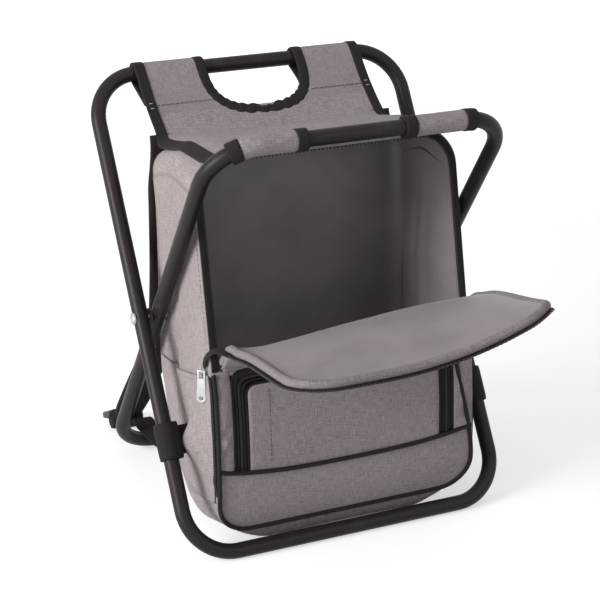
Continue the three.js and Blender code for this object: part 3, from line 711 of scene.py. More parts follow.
# Seat
SEAT_HALF_WIDTH = 132
SEAT_FLAT_HALF_WIDTH = 94
SEAT_EDGE_DROP = 8.5
SEAT_FOLD = Vector((64, 385.6))
SLEEVE_RADIUS = 10
STITCH_DROP = 44
HAND_HALF_WIDTH = 53
HAND_CORNER = 38
HAND_BOTTOM = REAR_BAR.x - 50
UPPER_LAYER_SHARE = 0.3
STITCH_SHARE = 0.335
FRONT_SLEEVES = {"left": (-140.5, -62.5), "right": (41.5, 119.5)}
SLEEVE_CLOTH_RADIUS = 10.3
SLEEVE_TAPE_RADIUS = 11


def seat_side_view():
    """The seat's line from under the rear bar, round it, down to the bag and up to the front bar."""
    slope = atan2(SEAT_FOLD.y - REAR_BAR.y, SEAT_FOLD.x - REAR_BAR.x)
    down = Vector((cos(slope), sin(slope)))
    under = Vector((-down.y, down.x))
    stitch = REAR_BAR + down * STITCH_DROP
    opening = acos(SLEEVE_RADIUS / STITCH_DROP)
    angles = [slope + opening + (2 * pi - 2 * opening) * step / 10 for step in range(11)]
    round_bar = [REAR_BAR + Vector((cos(angle), sin(angle))) * SLEEVE_RADIUS for angle in angles]
    bed = [(21, 396), (-6, 402.8), (-57, 405.6), (-96, 413.5), (-129, 421.5)]
    fold = [SEAT_FOLD + Vector((6, 2)), SEAT_FOLD]
    return [stitch + under * 1.2, *round_bar, stitch - under * 1.2, *fold, *bed]


SEAT_LINE = Run(seat_side_view())


def seat_normal(share):
    """The upper side of the seat cloth, which is the outside of its sleeve."""
    heading = SEAT_LINE.heading(share)
    return Vector((0, heading.y, -heading.x))


def hand_half_width(back, margin=0.0):
    """Half the width of the hand opening, at a place from front to back."""
    depth = HAND_CORNER + margin
    down = clamp((HAND_BOTTOM + HAND_CORNER - back) / depth)
    return (HAND_HALF_WIDTH + margin) * (1 - down**2.6) ** (1 / 2.6)


def seat_share_of_opening(margin):
    """Where along the seat line the hand opening, grown by a margin, ends."""
    steps = range(int(UPPER_LAYER_SHARE * 2000), 2000)
    stops = (step / 2000 for step in steps)
    return next(share for share in stops if SEAT_LINE.at(share).x <= HAND_BOTTOM - margin)


def seat_surface(x, share, lift=0.0):
    """A point on the seat, which dips between its edges and lies a little uneven."""
    flat = SEAT_LINE.at(share)
    normal = seat_normal(share)
    point = side_point(x, flat)
    free = ease((share - 0.42) * 8) * (1 - ease((share - 0.93) * 14))
    uneven = ruffle(x * 0.016, flat.x * 0.03, 3.1) * 1.3 * free
    crease = bell(flat.x, SEAT_FOLD.x - 4, 7) * free * 1.2
    over = ease((SEAT_FOLD.x + 16 - flat.x) / 22) * ease((flat.x + 108) / 50) * ease((share - 0.4) * 8)
    edge = clamp((abs(x) - SEAT_FLAT_HALF_WIDTH) / (SEAT_HALF_WIDTH - SEAT_FLAT_HALF_WIDTH)) ** 3 * over
    point += Vector((x * 0.05 * edge, 0, -SEAT_EDGE_DROP * edge))
    return point + normal * (lift + max(uneven, -0.7) - crease * 0.4)


def seat_half(side):
    """One half of the seat cloth, from the edge of the hand opening to the side binding."""
    bottom = seat_share_of_opening(0)
    upper = 0.6

    def place(across, along):
        if along < upper:
            share = bottom * sin(pi / 2 * along / upper)
            near = hand_half_width(SEAT_LINE.at(share).x)
        else:
            share = lerp(bottom, 1, (along - upper) / (1 - upper))
            near = 0
        x = lerp(near, SEAT_HALF_WIDTH - 2, across)
        return seat_surface(side * x, share)

    return patch(22, 130, place, (SEAT_HALF_WIDTH, SEAT_LINE.length))


def hand_binding(width, wave):
    """The tape round the hand opening: it hugs the bar, and ripples along the opening's bottom."""
    margin = width / 2 - 1
    bottom = seat_share_of_opening(margin)

    def share_at(along):
        return bottom * sin(pi / 2 * (1 - abs(2 * along - 1)))

    def place(along):
        share = share_at(along)
        x = hand_half_width(SEAT_LINE.at(share).x, margin)
        side = copysign(1, along - 0.5)
        ripple = sin(along * 190) * wave * bell(along, 0.5, 0.2)
        point = seat_surface(side * x, share, 0.2)
        return point + Vector((0, ripple, ripple * 0.6))

    line = MappedRun(place, 240)

    def swell(along):
        return 1 + 0.16 * sin(along * 190 + 0.8) * bell(along, 0.5, 0.2)

    def out(along):
        return seat_normal(share_at(along))

    return swept(line, out, flat_section(width, 3.2), 240, swell)


def seat_tape(side, width):
    """The tape over a side edge of the seat: one band, which its wall makes as thick as the fold."""
    outer = SEAT_HALF_WIDTH - 1

    def place(across, along):
        return seat_surface(side * lerp(outer - width, outer, across), along)

    return patch(8, 150, place, (width, SEAT_LINE.length))


def seat_cross_stitches(from_x, to_x, share):
    line = MappedRun(lambda along: seat_surface(lerp(from_x, to_x, along), share, 1.7), 12)
    return stitches(line, seat_normal(share))


def bar_sleeve(from_along, to_along, radius):
    """Cloth wrapped round the front bar: round above, drawn a little long towards the seat below."""
    def place(along):
        return top_bar_point(INNER_HALF_WIDTH, -1, lerp(from_along, to_along, along))

    section = []
    for angle in turns(24):
        droop = 1 + 0.07 * max(0, -sin(angle)) ** 2
        section.append((radius * cos(angle), radius * sin(angle) * droop))

    def swell(along):
        return 1 + 0.012 * ruffle(along * 5, radius, from_along)

    steps = max(6, int(abs(to_along - from_along) / 3))
    return swept(MappedRun(place), Vector((0, -0.3, 0.95)), section, steps, swell)


# Bag: side view lines, drawn in towards the round edges
FACE = Run(FACE_LINE)
BASE = Run(BASE_LINE)
BACK = Run(BACK_LINE)
TOP = Run(TOP_LINE)
MIDDLE = Vector((-34, 208))


def face_back(up):
    """How far back the bag's front stands: the opening's plane above the sill, the pocket below it."""
    if up >= SILL.y:
        return lerp(SILL.x, BROW.x, (up - SILL.y) / (BROW.y - SILL.y))
    return FACE.at(FACE.share_at(1, up)).x


def top_corner(back):
    """The bag's top edges turn softly at the opening and more tightly towards the back."""
    return lerp(TOP_CORNER, REAR_TOP_CORNER, ease((back - BROW.x) / 70))


def drop_share(x, corner):
    turn = clamp((abs(x) - (BAG_HALF_WIDTH - corner)) / corner)
    return 1 - sqrt(1 - turn * turn)


def across_bag(across):
    """Places across the bag for a share from 0 to 1, closer together where its edges turn."""
    part = 2 * across - 1
    flat_half = BAG_HALF_WIDTH - BOTTOM_CORNER
    flat_share = 0.7
    if abs(part) <= flat_share:
        return part / flat_share * flat_half
    turn = radians(90) * (abs(part) - flat_share) / 0.3
    return copysign(flat_half + BOTTOM_CORNER * sin(turn), part)


def drawn_in(x, flat, face_pull=0.0, inset=0.0):
    """A point of the side view, drawn in where the bag's edges are round, and by a lining's inset."""
    back, up = flat
    level = (up - MIDDLE.y) / (BAG_TOP - MIDDLE.y)
    if level < 0:
        tucked = max(up, TOE.y - BASE_TUCK_SLOPE * (back - TOE.x))
        up = lerp(up, tucked, ease((abs(x) - 84) / 50))
    corner = top_corner(back) if level > 0 else BOTTOM_CORNER
    depth = clamp((back - MIDDLE.x) / (CROWN.x - MIDDLE.x))
    lower = corner * abs(level) * drop_share(x, corner)
    new_up = up - copysign(lower, level)
    new_back = back - REAR_CORNER * depth * drop_share(x, REAR_CORNER)
    new_back += face_pull * (face_back(new_up) - face_back(up))
    new_back = MIDDLE.x + (new_back - MIDDLE.x) * (1 - inset / (CROWN.x - MIDDLE.x))
    new_up = MIDDLE.y + (new_up - MIDDLE.y) * (1 - inset / (BAG_TOP - MIDDLE.y))
    return side_point(x * (1 - inset / BAG_HALF_WIDTH), (new_back, new_up))


# How much a side view line follows the front at a share of its length
def base_pull(share):
    return 1 - ease(share * 2.6)


def top_pull(share):
    return 1 - ease(share * 3)


def no_pull(share):
    return 0


def bag_panel(line, pull, rows, inset=0.0, uneven=1.0):
    """A panel that runs the bag's whole width along one of its side view lines."""

    def place(across, along):
        x = across_bag(across)
        point = drawn_in(x, line.at(along), pull(along), inset)
        swell = noise.noise(point * 0.011) * uneven * hump(along)
        outward = Vector((0, point.y - MIDDLE.x, point.z - MIDDLE.y)).normalized()
        return point + outward * swell

    return patch(56, rows, place, (2 * BAG_HALF_WIDTH, line.length))


def side_edges(inset):
    """The four edges of a side panel in the side view, each from front to back or from low to high."""

    def edge(line, pull, count):
        return [drawn_in(BAG_HALF_WIDTH, line.at(share), pull(share), inset).yz for share in shares(count)]

    low, high = edge(BASE, base_pull, 16), edge(TOP, top_pull, 16)
    rear = edge(BACK, no_pull, 30)
    heights = [lerp(low[0].y, high[0].y, share) for share in shares(30)]
    front = [Vector((face_back(up) + inset * 0.6, up)) for up in heights]
    front[0], front[-1] = low[0], high[0]
    return Run(low), Run(high), Run(front), Run(rear)


def forward_of_tuck(back, up):
    """From 0 behind the tuck in the bag's side to 1 in front of it, and how deep the tuck is there."""
    line = -29 - 14 * ease((up - 240) / 130)
    forward = ease((line - back) / 5 + 0.5)
    return forward, bell(back, line + 3.5, 3.4)


def side_panel(side, bulge, pleat, inset=0.0, tuck=0.0):
    """A side of the bag: it swells, and falls in soft upright folds behind a tuck."""
    low, high, front, rear = side_edges(inset)
    corners = low.at(0), low.at(1), high.at(0), high.at(1)

    def place(across, along):
        flat = low.at(across) * (1 - along) + high.at(across) * along
        flat += front.at(along) * (1 - across) + rear.at(along) * across
        flat -= (corners[0] * (1 - across) + corners[1] * across) * (1 - along)
        flat -= (corners[2] * (1 - across) + corners[3] * across) * along
        hold = hump(clamp(across)) * hump(clamp(along))
        swell = bulge * hold
        fold = cos(flat.x * 0.21 + ruffle(0, flat.x * 0.02, flat.y * 0.012) * 3)
        reach = bell(flat.y, PLEAT_MIDDLE.y, PLEAT_REACH.y) * bell(flat.x, PLEAT_MIDDLE.x, PLEAT_REACH.x)
        swell += pleat * fold * hold * reach
        forward, groove = forward_of_tuck(*flat)
        held = ease(across * 9) * ease(along * 6) * ease((1 - along) * 4)
        swell += tuck * (forward - groove - 0.3) * held
        swell += ruffle(side * 9, flat.x * 0.02, flat.y * 0.018) * 1.1 * hold
        x = side * (BAG_HALF_WIDTH - inset + min(swell, SIDE_SWELL_LIMIT))
        return side_point(x, flat)

    return patch(72, 60, place, (150, 350))


def bag_seam(side, edge):
    """The rolled seam where a side meets the back or the base."""
    low, _, _, rear = side_edges(0)
    line = {"back": rear, "base": low}[edge]
    rolled = MappedRun(lambda along: side_point(side * (BAG_HALF_WIDTH - 0.6), line.at(along)))
    return swept(rolled, out_from(side), round_section(1.3, 8), 60)


def arch(half_width, top, corner, share, low=SILL.y):
    """An arched outline seen from the front: up one side, over the top and down the other."""
    stops = (0, 0.34, 0.42, 0.58, 0.66, 1)
    part = next(index for index in range(5) if share <= stops[index + 1] + 1e-9)
    along = (share - stops[part]) / (stops[part + 1] - stops[part])
    inner, shoulder = half_width - corner, top - corner
    if part in (1, 3):
        turn = radians((180 if part == 1 else 90) - 90 * along)
        return (part - 2) * inner + corner * cos(turn), shoulder + corner * sin(turn)
    if part == 2:
        return lerp(-inner, inner, along), top
    if part == 0:
        return -half_width, lerp(low, shoulder, along)
    return half_width, lerp(shoulder, low, along)


BORDER_OUT = Vector((0, BROW.x - SILL.x, BROW.y - SILL.y)).cross(Vector((-1, 0, 0))).normalized()
if BORDER_OUT.y > 0:
    BORDER_OUT = -BORDER_OUT


def border_point(x, up, lift):
    return Vector((x, face_back(up), up)) + BORDER_OUT * lift


def opening_ring(outer, inner, lifts, crown):
    """The band between two arches, which swells a little between them."""

    def place(across, along):
        from_x, from_up = arch(*outer, along)
        to_x, to_up = arch(*inner, along)
        lift = lerp(*lifts, across) + crown * hump(across)
        return border_point(lerp(from_x, to_x, across), lerp(from_up, to_up, across), lift)

    return patch(6, 170, place, (12, 690))


def opening_arch(inset):
    return OPENING_HALF_WIDTH - inset, OPENING_TOP - inset, OPENING_CORNER - inset


def opening_line(inset):
    return MappedRun(lambda along: border_point(*arch(*opening_arch(inset), along), 0.6), 240)


def opening_side_line(side):
    """A line on the bag's side, a seam's width behind the opening's edge."""

    def place(along):
        up = lerp(*OPENING_STITCH_ENDS, along)
        return Vector((side * (BAG_HALF_WIDTH + 0.5), face_back(up) + 5, up))

    return MappedRun(place)


# Front pocket
FACE_OUT = Vector((0, -1, 0))


def face_point(x, up, lift=0.0):
    return Vector((x, face_back(up) - lift, up))


def face_low(x):
    """The lowest height of the bag's face at a place across it."""
    return drawn_in(x, TOE, 1).z


def hem_height(x):
    """The pocket's hem hangs a little between its ends."""
    return HEM_HEIGHT + HEM_RISE * (abs(x) / BAG_HALF_WIDTH) ** 3


def face_panel(from_x, to_x, low, high, puff, lift, cells, pucker=0.0, corner=1.0):
    """A panel of the pocket's front from low(x) up to a height, puffed out, with round top corners."""

    def place(across, along):
        up = lerp(low(lerp(from_x, to_x, across)), high, along)
        turn = clamp((up - high + corner) / corner)
        narrower = corner * (1 - sqrt(1 - turn * turn))
        x = lerp(from_x + narrower, to_x - narrower, across)
        swell = puff * hump(across) ** 0.7 * hump(along) ** 0.7
        swell += pucker * ruffle(x * 0.05, 4.4, up * 0.075) * hump(across)
        swell += 0.5 * ruffle(x * 0.02, 1.4, up * 0.03)
        return face_point(x, up, lift + swell)

    return patch(*cells, place, (abs(to_x - from_x), high - HEM_HEIGHT))


def lower_panel(puff):
    """The panel under the pocket's hem, with its corners round towards the base."""

    def place(across, along):
        x = across_bag(across)
        up = lerp(face_low(x), hem_height(x), along)
        middle = hump(across) ** 0.6 * hump(along) ** 0.8
        wrinkle = ruffle(x * 0.014, 7.7, up * 0.03) * 1.2
        return face_point(x, up, puff * middle + wrinkle * middle)

    return patch(64, 18, place, (2 * BAG_HALF_WIDTH, 70))


def pocket_divider():
    """The board between the pocket and the compartment, from the base up to the sill."""
    line = Run(DIVIDER_LINE)

    def place(across, along):
        x = lerp(-DIVIDER_HALF_WIDTH, DIVIDER_HALF_WIDTH, across)
        point = side_point(x, line.at(along))
        point.z = max(point.z, drawn_in(x, (point.y, 5)).z + 6)
        return point

    return patch(40, 40, place, (2 * DIVIDER_HALF_WIDTH, 184))


def piping_line(lift):
    """Down the right side of the face, further in at its top, round the corners and up the left side."""
    edge = BAG_HALF_WIDTH - 0.8
    side_low = face_low(BAG_HALF_WIDTH)
    side_heights = [lerp(PIPING_TOP, side_low + 4, share) for share in shares(12)]
    right = [face_point(edge - PIPING_DRIFT * ease((up - 50) / 150), up, lift) for up in side_heights]
    left = [face_point(-edge, up, lift) for up in reversed(side_heights)]
    flat_half = BAG_HALF_WIDTH - BOTTOM_CORNER
    corner_xs = [flat_half + (edge - flat_half) * cos(radians(90 * share)) for share in shares(8)[1:]]
    corner = [face_point(x, face_low(x * BAG_HALF_WIDTH / edge) + 3, lift) for x in corner_xs]
    other_corner = [Vector((-point.x, point.y, point.z)) for point in reversed(corner)]
    middle = [face_point(flat_half * share, face_low(0) + 3, lift) for share in (0.6, 0.2, -0.2, -0.6)]
    return Run(right + corner + middle + other_corner + left, 5)


def corner_tape(side):
    """The tape that covers the seam behind the piping, from the face's corner up to the zip."""

    def place(along):
        up = lerp(face_low(BAG_HALF_WIDTH), SILL.y - 6, along)
        clear = ease(along * 5)
        return Vector((side * (BAG_HALF_WIDTH - 2 + 3.6 * clear), face_back(up) + 4.5 * clear, up))

    return swept(MappedRun(place), out_from(side), flat_section(CORNER_TAPE_WIDTH, 1.6), 60)


def door_seam():
    """The seam down the left part of the pocket's door."""

    def place(along):
        return face_point(DOOR_STITCH_ACROSS, lerp(HEM_HEIGHT + 12, DOOR_STITCH_TOP, along), 2.9)

    return MappedRun(place)


def hem_line(lift):
    """Across the pocket along its hem."""

    def place(along):
        x = lerp(-BAG_HALF_WIDTH + 3, BAG_HALF_WIDTH - 3, along)
        return face_point(x, hem_height(x), lift)

    return MappedRun(place)


def pocket_tape_line(shift, lift):
    """Up one side of the pocket's door, across above it and down the other side, beside its zip."""
    x, top = POCKET_TAPE_ACROSS + shift, POCKET_ZIP_TOP + shift
    corner = 10
    low = hem_height(x) + 1
    points = [(-x, low), (-x, lerp(low, top, 0.33)), (-x, lerp(low, top, 0.66)), (-x, top - corner)]
    points += [(-x + corner * 0.3, top - corner * 0.3), (-x + corner, top), (-x * 0.5, top), (0, top)]
    points += [(-across, up) for across, up in reversed(points[:-1])]
    return Run([face_point(across + POCKET_ZIP_SHIFT, up, lift) for across, up in points], 6)


# Flap: it climbs steeply from its hinge, flattens, and its left corner hangs lower than its right one
def flap_surface(a, b):
    """A point of the flap's middle sheet, for places across it and out from its hinge."""
    out_share = clamp(b / FLAP_LENGTH)
    right_share = clamp((a / FLAP_HALF_WIDTH + 1) / 2)
    end_rise = FLAP_END_RISE + FLAP_RIGHT_LIFT * clamp((a + 60) / 185) ** 2.2
    near_rise = lerp(*FLAP_NEAR_RISES, ease(right_share))
    rise = near_rise * (1 - (1 - out_share) ** 6) + (end_rise - near_rise) * out_share**2.2
    rise += 7 * hump(right_share) * hump(out_share) ** 0.8
    rise += 8 * ease((abs(a) - 96) / 42) * bell(b, 20, 17)
    reach = FLAP_REACH * b / FLAP_LENGTH
    return FLAP_HINGE + Vector((a, -reach, rise))


def flap_normal(a, b):
    """Square to the flap's middle sheet, without leaving its length."""
    nudge = 1.5
    low_b = clamp(b, nudge, FLAP_LENGTH - nudge)
    across = flap_surface(a + nudge, low_b) - flap_surface(a - nudge, low_b)
    out = flap_surface(a, low_b + nudge) - flap_surface(a, low_b - nudge)
    return out.cross(across).normalized()


def flap_side_up(a, b):
    normal = flap_normal(a, b)
    return normal if normal.z > 0 else -normal


def flap_point(a, b, lift):
    return flap_surface(a, b) + flap_side_up(a, b) * lift


def flap_sheet(inset, lift, crown, wrinkle):
    """One face of the flap, crowned by its padding, with round front corners."""
    half, length, corner = FLAP_HALF_WIDTH - inset, FLAP_LENGTH - inset, FLAP_CORNER - inset

    def place(across, along):
        b = length * (1 - (1 - along) ** 1.5)
        beyond = clamp((b - (length - corner)) / corner)
        edge = half - corner * (1 - sqrt(1 - beyond * beyond))
        a = lerp(-edge, edge, across)
        hold = hump(across) ** 0.6 * hump(clamp(along, 0.02, 1)) ** 0.6
        crease = ruffle(a * 0.012 + b * 0.02, b * 0.011, 5.0) * wrinkle
        near_left = bell(a, -112, 26) * bell(b, 60, 60)
        crease += near_left * sin(b * 0.16 + a * 0.05) * wrinkle * 0.6
        return flap_point(a, b, lift + crown * hold + crease * hold)

    return patch(56, 56, place, (2 * half, length))


def flap_rim(inset, lift, low=3):
    def place(along):
        a, b = arch(FLAP_HALF_WIDTH - inset, FLAP_LENGTH - inset, FLAP_CORNER - inset, along, low)
        return flap_point(a, b, lift)

    return MappedRun(place, 260)


def flap_rim_up(low=3):
    return lambda along: flap_side_up(*arch(FLAP_HALF_WIDTH, FLAP_LENGTH, FLAP_CORNER, along, low))


def hinge_cloth():
    """The strip of cloth that the flap hangs by, from the sill to the flap's root."""

    def place(across, along):
        x = lerp(-HINGE_CLOTH_HALF_WIDTH, HINGE_CLOTH_HALF_WIDTH, across)
        start = Vector((x, SILL.x - 0.5, SILL.y - 2))
        end = flap_point(x, 8, -2)
        dip = hump(along) * 1.5
        return lerp(start, end, along) - Vector((0, dip * 0.5, dip * 0.2))

    return patch(50, 8, place, (2 * HINGE_CLOTH_HALF_WIDTH, 14))


def zip_tail(side):
    """The free end of the flap's zip, which curls from the slider up to the flap."""
    end = flap_point(side * FLAP_HALF_WIDTH, ZIP_TAIL_JOIN + 2, -4)
    points = [(side * 149, -98, 199), (side * 149, -102, 209), (side * 147.5, -110, 217.5)]
    points += [(side * 144.5, -121, 224.5), tuple(end)]
    return Run(points, 6)


def tail_out(side):
    return lambda along: Vector((side * (1 - along), -along * 0.4, 0.35 + along))


# Sides: flat pockets, leg wraps, straps
def side_hem_height(back):
    """The side pocket's hem climbs to the front, and lies lower where the tuck laps over it."""
    forward, _ = forward_of_tuck(back, TUCK_LEVEL)
    behind = back - SIDE_HEM_START
    return lerp(SIDE_HEM_FRONT, SIDE_HEM_REAR, clamp(behind / 122)) - 2.5 * forward * ease(behind / 20)


def side_rim():
    """The lower edge of the bag's side, from the face's corner back and up its rear."""
    low, _, _, rear = side_edges(0)
    points = [low.at(step / 12) for step in range(12)] + [rear.at(step / 30) for step in range(16)]
    return [point.x for point in points], [point.y for point in points]


SIDE_RIM = side_rim()


def side_pocket_point(side, across, along, lift=0.0):
    """A point on the side pocket, which lies close to the bag's side and is pulled out at its wrap."""
    back = lerp(POCKET_FRONT, POCKET_REAR, across)
    low = max(POCKET_LOW, float(np.interp(back, *SIDE_RIM)) + 3)
    up = lerp(low, side_hem_height(back), along)
    front = face_back(up) + 5
    low_edge = lerp(8, 16, ease((up - POCKET_LOW) / 60)) + ease((up - 110) / 50) * 8
    rear = BACK.at(BACK.share_at(1, up)).x
    rear -= REAR_CORNER * (rear - MIDDLE.x) / (CROWN.x - MIDDLE.x) + 1.5
    back = lerp(front, min(low_edge, rear), across)
    swell = hump(clamp(across, 0.03, 0.97)) ** 0.7 * (0.35 + 0.65 * along)
    wave = ruffle(side * 3, back * 0.035, up * 0.02) * 0.9
    reach = 6.5 if back > WRAP_PULL.x else 24
    pulled = WRAP_PULL_OUT * bell(up, WRAP_PULL.y, 21) * bell(back, WRAP_PULL.x, reach)
    forward, groove = forward_of_tuck(back, TUCK_LEVEL)
    step = 1.5 * (forward - groove) * ease(across * 6) * ease(along * 2)
    behind = ease((1 - across) * 8)
    puffed = clamp(swell * 2.2 + wave * along + step, 0, SIDE_SWELL_LIMIT)
    x = BAG_HALF_WIDTH + 0.4 + 0.9 * behind + puffed * behind + pulled + lift
    sag = hump(across) * 2 * along
    return Vector((side * x, back, up - sag))


def side_pocket(side):
    return patch(64, 34, lambda across, along: side_pocket_point(side, across, along), (130, 130))


def side_pocket_hem(side):
    """The rolled hem along the side pocket's top edge."""
    line = MappedRun(lambda along: side_pocket_point(side, lerp(0.005, 0.995, along), 0.985, 0.2))
    return swept(line, out_from(side), flat_section(6, 2.2), 90)


def leg_wrap(side):
    """A band with a hook and loop end, wound a little more than once round the leg."""
    axis = Vector((0, sin(OPEN_ANGLE), cos(OPEN_ANGLE)))
    sideways = out_from(side)
    forward = axis.cross(sideways)
    middle = leg_point(1, side * OUTER_HALF_WIDTH, (WRAP_HEIGHT - PIVOT.z) / cos(OPEN_ANGLE))

    def radial(along):
        turn = WRAP_START + along * WRAP_TURN
        return sideways * cos(turn) + forward * sin(turn)

    def place(along):
        over = ease((along - 0.78) / 0.1)
        return middle + radial(along) * (WRAP_RADIUS + 2.5 * over)

    band = swept(MappedRun(place), radial, flat_section(WRAP_WIDTH, WRAP_THICKNESS, 12, 0.3), 72)
    arm_line = Run([middle - sideways * 10.4, middle - sideways * 20, middle - sideways * 29])
    arm = swept(arm_line, forward, flat_section(WRAP_ARM_WIDTH, WRAP_THICKNESS, 12, 0.3), 8)
    return joined(band, arm)


def strap_swell(along):
    return 1 - 0.4 * ease(1 - along * 7) - 0.14 * ease(1 - (1 - along) * 12)


def strap_out(points):
    """The way out of a strap's upper side, as a function of a share of its length."""
    flat = Run(points)

    def out(along):
        heading = flat.heading(along)
        return Vector((0, -heading.y, heading.x))

    return out


def strap_line(side, points, shift=0.0, lift=0.0):
    """A strap's line, or one beside it by a shift and above it by a lift."""
    flat, out = Run(points), strap_out(points)

    def place(along):
        x = side * STRAP_ACROSS + shift * strap_swell(along)
        return side_point(x, flat.at(along)) + out(along) * lift

    return MappedRun(place)


def strap_pad(side, width, thickness):
    """A padded strap: full in its middle, pinched where it is sewn."""
    section = []
    for across, rise in flat_section(width, thickness, 20, 0.7):
        channel = 1 - 0.3 * bell(abs(across), width * STRAP_STITCH_SHARE, 1.8)
        section.append((across, rise * channel))
    return swept(strap_line(side, STRAP_POINTS), strap_out(STRAP_POINTS), section, 90, strap_swell)


def strap_roll(side, width):
    """The strap's spare end, rolled up under its adjuster."""
    section = []
    for angle in turns(24):
        layer = 1 - 0.16 * bell(angle, 4.2, 0.22)
        section.append((STRAP_ROLL_RADII[0] * cos(angle) * layer, STRAP_ROLL_RADII[1] * sin(angle) * layer))
    half = width / 2 - 1
    centre = side_point(side * STRAP_ACROSS, STRAP_ROLL_MIDDLE)
    line = MappedRun(lambda along: centre + Vector((lerp(-half, half, along), 0, 0)), 10)

    def swell(along):
        return 0.9 + 0.1 * ease(along * 8) * ease((1 - along) * 8)

    return swept(line, Vector((0, 0.3, 1)), section, 16, swell)


# Colours and sizes that a user would change
def colour_property(name, description, value):
    kind = {"subtype": "COLOR", "size": 3, "min": 0, "max": 1}
    return FloatVectorProperty(name=name, description=description, default=value, **kind)


def length_property(name, description, value):
    kind = {"unit": "LENGTH", "precision": 4}
    return FloatProperty(name=name, description=description, default=value * MM, **kind)


class StoolColours(bpy.types.PropertyGroup):
    """Colours of the stool's finishes"""

    light_yarn: colour_property("Light yarn", "Paler yarn of the grey cloth", (0.39, 0.345, 0.338))
    dark_yarn: colour_property("Dark yarn", "Darker yarn of the grey cloth", (0.165, 0.14, 0.136))
    tape: colour_property("Tape", "Bindings, zip tapes and webbing", (0.0105, 0.0085, 0.008))
    worn_tape: colour_property("Worn tape", "Bindings where they rub", (0.032, 0.026, 0.0245))
    lining: colour_property("Lining", "Smooth lining of the cooler bag", (0.27, 0.235, 0.24))
    # Painted shade: the lining's colour in its creases, darker in place of the shade that falls there
    lining_painted_shade: colour_property("Lining shade", "Lining along its creases", (0.215, 0.187, 0.19))
    paint: colour_property("Paint", "Satin paint of the tubes", (0.0185, 0.0148, 0.0138))
    rubbed_paint: colour_property("Rubbed paint", "Paint where it is rubbed", (0.036, 0.0295, 0.0275))
    plate: colour_property("Plate", "Plated metal of the zips and rivets", (0.56, 0.55, 0.54))
    dull_plate: colour_property("Dull plate", "Plated metal in its dull patches", (0.4, 0.39, 0.38))
    plastic: colour_property("Plastic", "Moulded adjusters", (0.009, 0.008, 0.008))
    worn_plastic: colour_property("Worn plastic", "Moulded adjusters where they rub", (0.024, 0.021, 0.021))
    thread: colour_property("Thread", "Pale stitching thread", (0.5, 0.47, 0.44))
    dark_thread: colour_property("Dark thread", "Dark stitching thread", (0.1, 0.085, 0.083))


class StoolSizes(bpy.types.PropertyGroup):
    """Sizes of the stool's cloth details"""

    yarn: length_property("Yarn", "Width of a yarn in the grey cloth", 0.78)
    binding: length_property("Binding", "Width of the tape on the seat's edges", 11.5)
    hand_ripple: length_property("Hand ripple", "Ripple of the tape under the hand opening", 1.5)
    seat_wall: length_property("Seat cloth", "Thickness of the seat cloth", 1.8)
    bag_wall: length_property("Bag cloth", "Thickness of the bag cloth", 1.8)
    side_bulge: length_property("Side bulge", "How far the bag's sides swell", 2.0)
    pleat: length_property("Pleat", "Depth of the folds in the bag's sides", 1.0)
    tuck: length_property("Tuck", "Depth of the upright tuck in the bag's sides", 1.7)
    border_crown: length_property("Border crown", "Swell of the border round the opening", 0.8)
    pocket_puff: length_property("Pocket puff", "Swell of the front pocket's panels", 3.2)
    pucker: length_property("Pucker", "Puckers of the strips beside the pocket's zip", 3.4)
    piping: length_property("Piping", "Radius of the piping round the face", 2.3)
    flap_crown: length_property("Flap crown", "Swell of the flap's padding", 2.6)
    rim_roll: length_property("Rim roll", "Radius of the padded roll round the flap", 4.3)
    zip_pitch: length_property("Zip pitch", "Distance between zip teeth", 2.1)
    strap_width: length_property("Strap width", "Width of the shoulder straps", 39.5)
    strap_pad: length_property("Strap padding", "Thickness of the shoulder straps", 7.4)


def size(name):
    """A user's size, in the units that pieces are drawn in."""
    return getattr(bpy.context.scene.stool_sizes, name) / MM


def zip_teeth(line, out):
    """A zip's row of teeth, at the pitch that the user sets."""
    pitch = size("zip_pitch")
    return teeth(line, out, pitch, (TOOTH_WIDTH, pitch * TOOTH_SHARE, TOOTH_HEIGHT))


class STOOL_OT_finishes(bpy.types.Operator):
    """Makes the cloth, tape, lining, paint, metal, plastic and thread finishes"""

    bl_idname = "stool.finishes"
    bl_label = "Finishes"

    def execute(self, context):
        colours, yarn = context.scene.stool_colours, context.scene.stool_sizes.yarn
        yarns = (colours.light_yarn, colours.dark_yarn)
        # The roll's finish is the grey cloth with its yarns painted darker as shade, not a darker yarn
        painted_shade_rim_yarns = [tuple(part * RIM_PAINTED_SHADE for part in colour) for colour in yarns]
        FINISHES.update(
            grey=melange_finish("grey_melange", *yarns, yarn),
            rim=melange_finish("painted_shade_rim_melange", *painted_shade_rim_yarns, yarn),
            tape=tape_finish("dark_tape", colours.tape, colours.worn_tape, yarn * 1.6),
            lining=lining_finish("warm_lining", colours.lining, colours.lining_painted_shade),
            paint=worn_finish("tube_paint", colours.paint, colours.rubbed_paint, **PAINT),
            plate=worn_finish("bright_plate", colours.plate, colours.dull_plate, **METAL),
            steel=worn_finish("rivet_steel", colours.dull_plate, colours.plate, **DULL_METAL),
            plastic=worn_finish("black_plastic", colours.plastic, colours.worn_plastic, **PLASTIC),
            thread=worn_finish("pale_thread", colours.thread, colours.light_yarn, **PLASTIC),
            dark_thread=worn_finish("dark_thread", colours.dark_thread, colours.dark_yarn, **PLASTIC),
        )
        return {"FINISHED"}


class STOOL_OT_frame(bpy.types.Operator):
    """Makes the two tube loops and their rivets"""

    bl_idname = "stool.frame"
    bl_label = "Frame"

    def execute(self, context):
        loops = (("outer_frame", OUTER_HALF_WIDTH, 1), ("inner_frame", INNER_HALF_WIDTH, -1))
        for body, half_width, lean in loops:
            make_piece(tube_loop(half_width, lean), f"{body}_loop", "paint", f"{body}_tube", body)
            dress(f"{body}_spigot", "steel")
        for label, side in SIDES:
            make_piece(rivet_head(side), f"rivet_head_{label}", "steel")
            dress(f"pivot_rivet_{label}", "steel")
            dress(f"pivot_spacer_{label}", "plastic")
        return {"FINISHED"}


